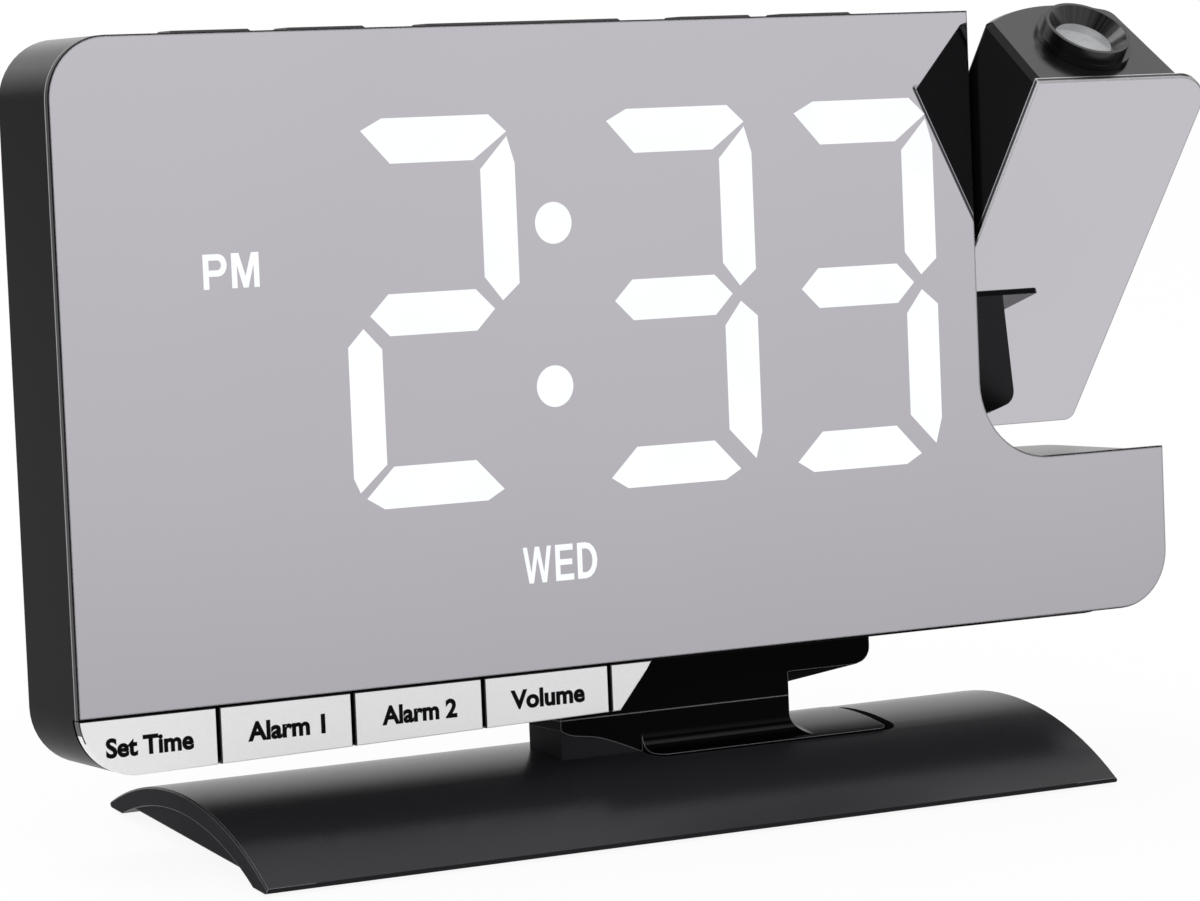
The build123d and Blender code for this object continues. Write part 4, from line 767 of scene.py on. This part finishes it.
STEM = [(0, 0), (STEM_WIDTH, 0), (STEM_WIDTH, 1), (0, 1)]
MARK_OUTLINES = {
    "P": [STEM, bowl((0.56, 0.68), (0.32, 0.32), (0.53, 0.68), (0.14, 0.14))],
    "D": [STEM, bowl((0.36, 0.5), (0.5, 0.5), (0.36, 0.5), (0.29, 0.33))],
    "M": [[
        (0, 0), (0.2, 0), (0.2, 0.66), (0.42, 0), (0.6, 0), (0.82, 0.66), (0.82, 0), (1.02, 0),
        (1.02, 1), (0.74, 1), (0.51, 0.33), (0.28, 1), (0, 1),
    ]],
    "W": [[
        (0, 1), (0.18, 1), (0.33, 0.28), (0.51, 1), (0.7, 1), (0.88, 0.28), (1.03, 1), (1.21, 1),
        (0.98, 0), (0.79, 0), (0.605, 0.7), (0.42, 0), (0.23, 0),
    ]],
    "E": [[
        (0, 0), (0.78, 0), (0.78, 0.17), (0.2, 0.17), (0.2, 0.43), (0.72, 0.43), (0.72, 0.59),
        (0.2, 0.59), (0.2, 0.83), (0.76, 0.83), (0.76, 1), (0, 1),
    ]],
}
LETTER_GAP = 0.17
LIT_MARKS = [
    ("Lit_afternoon_mark", "PM", (-68.2, 62.0), 5.0, 8.8),
    ("Lit_weekday", "WED", (-16.6, 15.9), 5.4, 12.6),
]
for name, word, middle, height, width in LIT_MARKS:
    outlines, pen = [], 0.0
    for letter in word:
        shapes = MARK_OUTLINES[letter]
        outlines += [[(pen + x, y) for x, y in shape] for shape in shapes]
        pen += max(x for shape in shapes for x, y in shape) + LETTER_GAP
    stretch = width / (pen - LETTER_GAP)
    placed = [
        [(middle[0] + x * stretch - width / 2, middle[1] + (y - 0.5) * height) for x, y in shape]
        for shape in outlines
    ]
    flat_piece(name, placed, "clock", white_light, RUN_UP, face_turn, face_origin)
print("marks lit:", len(LIT_MARKS))

# %% [markdown]
# ## Words as flat letters
# The key words are pad printed: a silicone pad puts down a film of ink a few hundredths of a
# millimetre thick. A picture on the key would blur close up. A text object stays sharp; it is
# turned into a mesh and set to an exact width and height, so that it can ride with its own key.


# %% Letter maker
def letters(name, words, middle, height, width, weight, body, material, turn, origin, lift):
    """Bold sans letters as flat faces, set to a height and width in millimetres about a middle."""
    curve = bpy.data.curves.new(name, "FONT")
    curve.body = words
    curve.align_x = "LEFT"
    curve.fill_mode = "FRONT"
    curve.offset = weight
    curve.resolution_u = 4
    maker = new_object(name + "_maker", curve)
    bpy.context.view_layer.update()
    evaluated = maker.evaluated_get(bpy.context.evaluated_depsgraph_get())
    mesh = bpy.data.meshes.new_from_object(evaluated)
    bpy.data.objects.remove(maker)
    xs = [vertex.co.x for vertex in mesh.vertices]
    ys = [vertex.co.y for vertex in mesh.vertices]
    grow = Vector((width / (max(xs) - min(xs)), height / (max(ys) - min(ys))))
    for vertex in mesh.vertices:
        x = middle[0] + (vertex.co.x - (min(xs) + max(xs)) / 2) * grow.x
        up = middle[1] + (vertex.co.y - (min(ys) + max(ys)) / 2) * grow.y
        vertex.co = origin + turn @ Vector((x * MM, up * MM, lift))
    return add_piece(name, mesh, material, body)


WORD_HEIGHT = 2.9
print("key words will be", WORD_HEIGHT, "mm high")

# %% [markdown]
# ## Print the keys
# Each word sits in the middle of its key and moves with it. The ink could be a darker patch in the
# key's own material, but then it would need a mask for every word. As a piece of its own it is
# black and slightly rough, so it reads from any side.

# %% Key words
INK_LIFT = 0.02 * MM
KEY_WORD_WEIGHT = 0.04
print_ink = speckled(
    "Key black ink", "050506", "0b0b0c", 0.3, 0.5, 0.6, IOR=1.5, Specular_IOR_Level=0.05,
)
KEY_WORDS = [
    ("time_key", "Set Time", (-84.3, -4.3), 13.6),
    ("alarm_one_key", "Alarm 1", (-62.8, -4.15), 12.4),
    ("alarm_two_key", "Alarm 2", (-41.2, -4.0), 12.4),
    ("volume_key", "Volume", (-19.7, -3.85), 12.6),
]
for node, words, middle, width in KEY_WORDS:
    letters(
        "Word_" + node, words, middle, WORD_HEIGHT, width, KEY_WORD_WEIGHT, node + "_body",
        print_ink, face_turn, face_origin, INK_LIFT,
    )
print("keys printed:", len(KEY_WORDS))

# %% [markdown]
# ## Marks on the top buttons
# Fingers find the top buttons by their length; small grey marks tell the eye. They are printed
# like the keys, flat on the button, and read from in front: a plus, a minus, a lamp with rays for
# the brightness, a widening beam for the projector, and a word on the long snooze bar. Signs this
# simple are quicker and cleaner as drawn outlines than as characters of a font.

# %% Top marks
MARK_LIFT = 0.03 * MM
MARK_REACH = 1.25
MARK_HALF = MARK_REACH * 0.2
LAMP_RAYS = 8
LEVEL_WITHIN = 0.02 * MM  # points this close to the highest one belong to the upper face
mark_ink = speckled("Button grey ink", "8c8c90", "9a9a9e", 0.3, 0.4, 0.5, IOR=1.5)
top_turn = Matrix((face_turn.col[0], -face_turn.col[2], face_turn.col[1])).transposed()


def bar_outline(left, right, low, high, turn=0.0):
    """A rectangle, turned about the origin by an angle, as four (x, y) corners."""
    corners = [(left, low), (right, low), (right, high), (left, high)]
    return [(x * cos(turn) - y * sin(turn), x * sin(turn) + y * cos(turn)) for x, y in corners]


def cross_outline(reach, half):
    """Twelve corners of an upright cross whose arms reach out and are two halves wide."""
    corners = []
    for x, y in ((1, 0), (0, 1), (-1, 0), (0, -1)):
        for out, side in ((half, -half), (reach, -half), (reach, half)):
            corners.append((x * out - y * side, y * out + x * side))
    return corners


def lamp_outlines(size):
    """A round lamp with rays."""
    rays = [radians(360 / LAMP_RAYS * ray) for ray in range(LAMP_RAYS)]
    outlines = [ring_points(0.45 * size, 20)]
    return outlines + [
        bar_outline(-0.1 * size, 0.1 * size, 0.65 * size, 1.05 * size, turn) for turn in rays
    ]


def beam_outlines(size):
    """A small projector and the beam that widens in front of it."""
    box = bar_outline(-size, -0.45 * size, -0.25 * size, 0.25 * size)
    light = [(-0.25, -0.2), (1, -0.8), (1, 0.8), (-0.25, 0.2)]
    return [box, [(x * size, y * size) for x, y in light]]


TOP_MARKS = {
    "minus_button": [bar_outline(-MARK_REACH, MARK_REACH, -MARK_HALF, MARK_HALF)],
    "plus_button": [cross_outline(MARK_REACH, MARK_HALF)],
    "light_button": lamp_outlines(MARK_REACH),
    "projector_button": beam_outlines(MARK_REACH),
}


def button_top(node):
    """Middle of a top button's upper face."""
    points = [vertex.co for vertex in NODES[node].data.vertices]
    reach = furthest(node, top_turn.col[2])
    upper = [point for point in points if point.dot(top_turn.col[2]) > reach - LEVEL_WITHIN]
    low = [min(point.dot(top_turn.col[axis]) for point in upper) for axis in (0, 1)]
    high = [max(point.dot(top_turn.col[axis]) for point in upper) for axis in (0, 1)]
    return top_turn @ Vector(((low[0] + high[0]) / 2, (low[1] + high[1]) / 2, reach))


for node, outlines in TOP_MARKS.items():
    flat_piece(
        "Mark_" + node, outlines, node + "_body", mark_ink, MARK_LIFT, top_turn, button_top(node),
    )
letters(
    "Word_snooze_bar", "SNOOZE", (0, 0), 2.0, 11.5, 0.02, "snooze_bar_body",
    mark_ink, top_turn, button_top("snooze_bar"), MARK_LIFT,
)
print("top marks:", len(TOP_MARKS) + 1)

# %% [markdown]
# ## Screws
# Small pan-head screws of blackened steel close the back cover, the neck and the base plate. Each
# head is a turned profile, and its cross recess is a tapered pit. A boolean cut would leave ragged
# faces on something this small, so the pit is built point by point, and the flat ring between
# circle and cross is filled with triangles.

# %% Cross-recess screw
SCREW_SIDES = 28
HEAD_PROFILE = [(1.0, 0.0), (1.0, 0.3), (0.94, 0.66), (0.8, 0.9), (0.62, 1.0)]
HEAD_HEIGHT = 0.55  # share of the head's radius
RECESS_REACH = 0.45
RECESS_HALF = 0.15
RECESS_LEVELS = [(0.0, 1.0), (0.7, 0.55)]  # depth as a share of the height, and size there


def head_rings(shape, radius):
    """Rings of the turned profile from the seat up, then the recess's rim and its floor."""
    height = HEAD_HEIGHT * radius
    rings = []
    for share, rise in HEAD_PROFILE:
        points = ring_points(share * radius, SCREW_SIDES)
        rings.append([shape.verts.new((x, y, rise * height)) for x, y in points])
    cross = cross_outline(RECESS_REACH * radius, RECESS_HALF * radius)
    for depth, scale in RECESS_LEVELS:
        level = height * (1 - depth)
        rings.append([shape.verts.new((x * scale, y * scale, level)) for x, y in cross])
    return rings


def pan_screw(name, seat, out, radius, body):
    """A pan head of a radius in millimetres, its underside on seat, looking along out."""
    shape = bmesh.new()
    rings = head_rings(shape, radius)
    last = len(HEAD_PROFILE) - 1
    bands = [(rings[step], rings[step + 1]) for step in range(last)] + [(rings[-2], rings[-1])]
    for low, high in bands:
        for step in range(len(low)):
            after = (step + 1) % len(low)
            face = shape.faces.new((low[step], low[after], high[after], high[step]))
            face.smooth = len(low) == SCREW_SIDES
    shape.faces.new(rings[0])
    shape.faces.new(rings[-1])
    rims = []
    for ring in (rings[last], rings[-2]):
        rims += [shape.edges.get((ring[step], ring[step - 1])) for step in range(len(ring))]
    bmesh.ops.triangle_fill(shape, edges=rims, use_beauty=True)
    bmesh.ops.recalc_face_normals(shape, faces=shape.faces)
    turn = out.to_track_quat("Z", "Y").to_matrix().to_4x4()
    placed = Matrix.Translation(seat) @ turn @ Matrix.Scale(MM, 4)
    bmesh.ops.transform(shape, matrix=placed, verts=shape.verts)
    mesh = bpy.data.meshes.new(name)
    shape.to_mesh(mesh)
    shape.free()
    piece = add_piece(name, mesh, black_zinc, body)
    return piece


WELL_FLOOR = 16.8 * MM
CHIN_BACK = 18.0 * MM
PLATE_UNDERSIDE = 1.9 * MM
STAND_BACK_MM = -3.66
COVER_SCREWS = [(-88.5, 89.5), (-88.5, 8.7), (54.5, 90.5), (54.5, 3.55)]
NECK_SCREWS = [(2.0, -4.5), (20.0, -4.5)]
PLATE_SCREWS = [(x, STAND_BACK_MM + y) for x in (-48.0, 48.0) for y in (-12.5, 12.5)]
for number, (x, up) in enumerate(COVER_SCREWS, 1):
    pan_screw(f"Cover_screw_{number}", on_face(x, up, -WELL_FLOOR), -FACE_OUT, 2.1, "clock")
for number, (x, up) in enumerate(NECK_SCREWS, 1):
    pan_screw(f"Neck_screw_{number}", on_face(x, up, -CHIN_BACK), -FACE_OUT, 2.0, "clock")
for number, (x, y) in enumerate(PLATE_SCREWS, 1):
    seat = Vector((x * MM, y * MM, PLATE_UNDERSIDE))
    pan_screw(f"Base_screw_{number}", seat, Vector((0, 0, -1)), 2.2, "clock")
print("screws:", len(COVER_SCREWS) + len(NECK_SCREWS) + len(PLATE_SCREWS))

# %% [markdown]
# ## Sky
# A plain studio: a white backdrop all round, a gap above it where the room is dim, and a wide soft
# ceiling. It could be built of panels and lamps, but a ramp over the height of the sky does the
# same without noise. The camera sees plain white. Reflections see the bands, so that a curved
# black surface shows where it bends: bright at its crest, dark a little below, and grey on its
# slope. Everything that isn't shiny is lit evenly, so colours come out as they are written.

# %% Sky
# Degrees above the horizon, and the level that a mirror sees there.
SKY_BANDS = [
    (-3.4, 0.69), (2, 0.883), (6, 0.949), (9.2, 1.0), (17, 1.0), (25, 0.04), (36, 0.04),
    (47, 1.2), (80, 1.25),
]
EVEN_LIGHT = 0.85
WHITE = linear("ffffff")


def soft_sky():
    """White for the camera, bands for mirrors, even light for the rest."""
    world = bpy.data.worlds.new("Studio sky")
    bpy.context.scene.world = world
    world.use_nodes = True
    tree = world.node_tree
    tree.nodes.clear()
    place = add_node(tree, "TexCoord")
    split = add_node(tree, "SeparateXYZ", {"Vector": place.outputs["Generated"]})
    lowest = sin(radians(SKY_BANDS[0][0]))
    height = add_node(tree, "MapRange", {"Value": split.outputs["Z"]}, {"From Min": lowest})
    bands = add_node(tree, "ValToRGB", {"Fac": height.outputs["Result"]})
    stops = bands.color_ramp.elements
    while len(stops) < len(SKY_BANDS):
        stops.new(0.5)
    for stop, (degrees, level) in zip(stops, SKY_BANDS):
        stop.position = (sin(radians(degrees)) - lowest) / (1 - lowest)
        stop.color = (level, level, level, 1.0)
    path = add_node(tree, "LightPath")
    shown = add_node(tree, "Background", values={"Color": WHITE, "Strength": 1.0})
    mirrored = add_node(tree, "Background", {"Color": bands.outputs["Color"]}, {"Strength": 1.0})
    lighting = add_node(tree, "Background", values={"Color": WHITE, "Strength": EVEN_LIGHT})
    through = add_node(
        tree, "Math",
        {0: path.outputs["Is Camera Ray"], 1: path.outputs["Is Transmission Ray"]},
        operation="MAXIMUM",
    )
    seen = add_node(
        tree, "MixShader",
        {0: path.outputs["Is Glossy Ray"], 1: lighting.outputs[0], 2: mirrored.outputs[0]},
    )
    last = add_node(tree, "MixShader", {0: through.outputs[0], 1: seen.outputs[0], 2: shown.outputs[0]})
    add_node(tree, "OutputWorld", {"Surface": last.outputs[0]})
    return world


print(soft_sky().name, "with", len(SKY_BANDS), "bands")

# %% [markdown]
# ## Floor
# A sheet of white paper under the clock. For the camera and for mirrors most of its white is its
# own, so that it meets the white sky without a line; the rest is ordinary lit paper, which keeps a
# faint shadow where the stand rests. In reflections it fades towards its rim to the level of the
# sky beyond, so no line shows in the mirror either. A swept backdrop of real paper could do this
# too, but only from one side. Stage pieces aren't part of the clock.

# %% Floor
OWN_WHITE = 0.92
FLOOR_RADIUS = 1.2
FLOOR_SIDES = 96
FLOOR_SINK = 0.1 * MM  # so that the floor and the feet don't fight for one plane
FADE_FROM = 0.3  # share of the radius


def paper_shader(tree, radius):
    """Lit paper mixed with its own white, for the rays that look at it straight or by a mirror."""
    path = add_node(tree, "LightPath")
    direct = add_node(
        tree, "Math",
        {0: path.outputs["Is Camera Ray"], 1: path.outputs["Is Glossy Ray"]},
        operation="MAXIMUM",
    )
    shown = add_node(
        tree, "Math", {0: direct.outputs[0], 1: path.outputs["Is Transmission Ray"]},
        operation="MAXIMUM",
    )
    amount = add_node(tree, "MapRange", {"Value": shown.outputs[0]}, {"To Max": OWN_WHITE})
    place = add_node(tree, "TexCoord")
    reach = add_node(tree, "VectorMath", {0: place.outputs["Object"]}, operation="LENGTH")
    fading = add_node(
        tree, "MapRange", {"Value": reach.outputs["Value"]},
        {"From Min": FADE_FROM * radius, "From Max": radius, "To Min": 1, "To Max": SKY_BANDS[0][1]},
    )
    level = add_node(
        tree, "Mix",
        {"Factor": path.outputs["Is Glossy Ray"], "B": fading.outputs["Result"]}, {"A": 1.0},
    )
    paper = add_node(tree, "BsdfDiffuse", values={"Color": linear("f8f8f8")})
    white = add_node(tree, "Emission", {"Strength": level.outputs["Result"]}, {"Color": WHITE})
    mixed = add_node(
        tree, "MixShader",
        {0: amount.outputs["Result"], 1: paper.outputs[0], 2: white.outputs[0]},
    )
    add_node(tree, "OutputMaterial", {"Surface": mixed.outputs[0]})


def studio_floor(radius):
    """A round white floor at the clock's feet."""
    points = [(x, y, -FLOOR_SINK) for x, y in ring_points(radius, FLOOR_SIDES)]
    mesh = bpy.data.meshes.new("Studio_floor")
    mesh.from_pydata(points, [], [list(range(FLOOR_SIDES))])
    floor = new_object("Studio_floor", mesh)
    material = bpy.data.materials.new("Floor white paper")
    material.use_nodes = True
    material.node_tree.nodes.clear()
    paper_shader(material.node_tree, radius)
    mesh.materials.append(material)
    return floor


print(studio_floor(FLOOR_RADIUS).name, "radius", FLOOR_RADIUS, "m")

# %% [markdown]
# ## Lamp
# One soft box high up and behind, half a metre wide, adds the trace of direction that an even sky
# lacks: edges that look up and back are a shade brighter. A sun lamp could do that, but its
# shadows are hard. This one is weak, so nothing clips to white.

# %% Soft lamp
LAMP_PLACE = Vector((-0.3, 0.35, 0.9))
LAMP_TARGET = Vector((0, 0, 0.05))
LAMP_WIDTH = 0.5
LAMP_WATTS = 3.0


def softbox(name, place, target, size, power):
    """A square area lamp that looks at a target."""
    lamp = bpy.data.lights.new(name, "AREA")
    lamp.shape = "SQUARE"
    lamp.size = size
    lamp.energy = power
    stand = new_object(name, lamp)
    stand.location = place
    stand.rotation_euler = (target - place).to_track_quat("-Z", "Y").to_euler()
    return stand


box = softbox("Overhead softbox", LAMP_PLACE, LAMP_TARGET, LAMP_WIDTH, LAMP_WATTS)
print("lamp:", box.name, "at", [round(value, 2) for value in box.location], "m")

# %% [markdown]
# ## Camera
# A long lens from the reader's left, a little above, so that the clock's upright lines stay
# nearly parallel. The camera could be dragged into place by hand. It is described by where it
# looks from instead: an azimuth, an elevation, a small roll, and a distance from a point on the
# clock's axis, so that each can be changed alone.

# %% Set the camera
AZIMUTH = radians(30.0)
ELEVATION = radians(10.14)
ROLL = radians(1.12)
DISTANCE = 674.55 * MM
FOCAL_PIXELS = 4512.9
FRAME_WIDTH_PIXELS = 1200
SENSOR_MM = 36.0
FAR_CLIP = 20
AIM = Vector((0, -14.01, 60.0)) * MM
SIDE_STEP = 9.866 * MM
DOWN_STEP = 4.184 * MM


def aim_camera():
    """Camera on a sphere about the aim point, rolled, then shifted across and down its own axes."""
    forward = Vector((
        sin(AZIMUTH) * cos(ELEVATION), cos(AZIMUTH) * cos(ELEVATION), -sin(ELEVATION),
    ))
    right = forward.cross(Vector((0, 0, 1))).normalized()
    up = right.cross(forward)
    rolled_right = cos(ROLL) * right + sin(ROLL) * up
    rolled_up = cos(ROLL) * up - sin(ROLL) * right
    data = bpy.data.cameras.new("Camera")
    data.sensor_width = SENSOR_MM
    data.lens = FOCAL_PIXELS * SENSOR_MM / FRAME_WIDTH_PIXELS
    data.clip_end = FAR_CLIP
    camera = new_object("Camera", data)
    place = AIM - forward * DISTANCE - rolled_right * SIDE_STEP - rolled_up * DOWN_STEP
    turn = Matrix((rolled_right, rolled_up, -forward)).transposed().to_4x4()
    camera.matrix_world = Matrix.Translation(place) @ turn
    bpy.context.scene.camera = camera
    return camera


camera = aim_camera()
bpy.context.scene.view_settings.view_transform = "Standard"
print("camera at", [round(value, 4) for value in camera.location])
print("lens", round(camera.data.lens, 1), "mm")
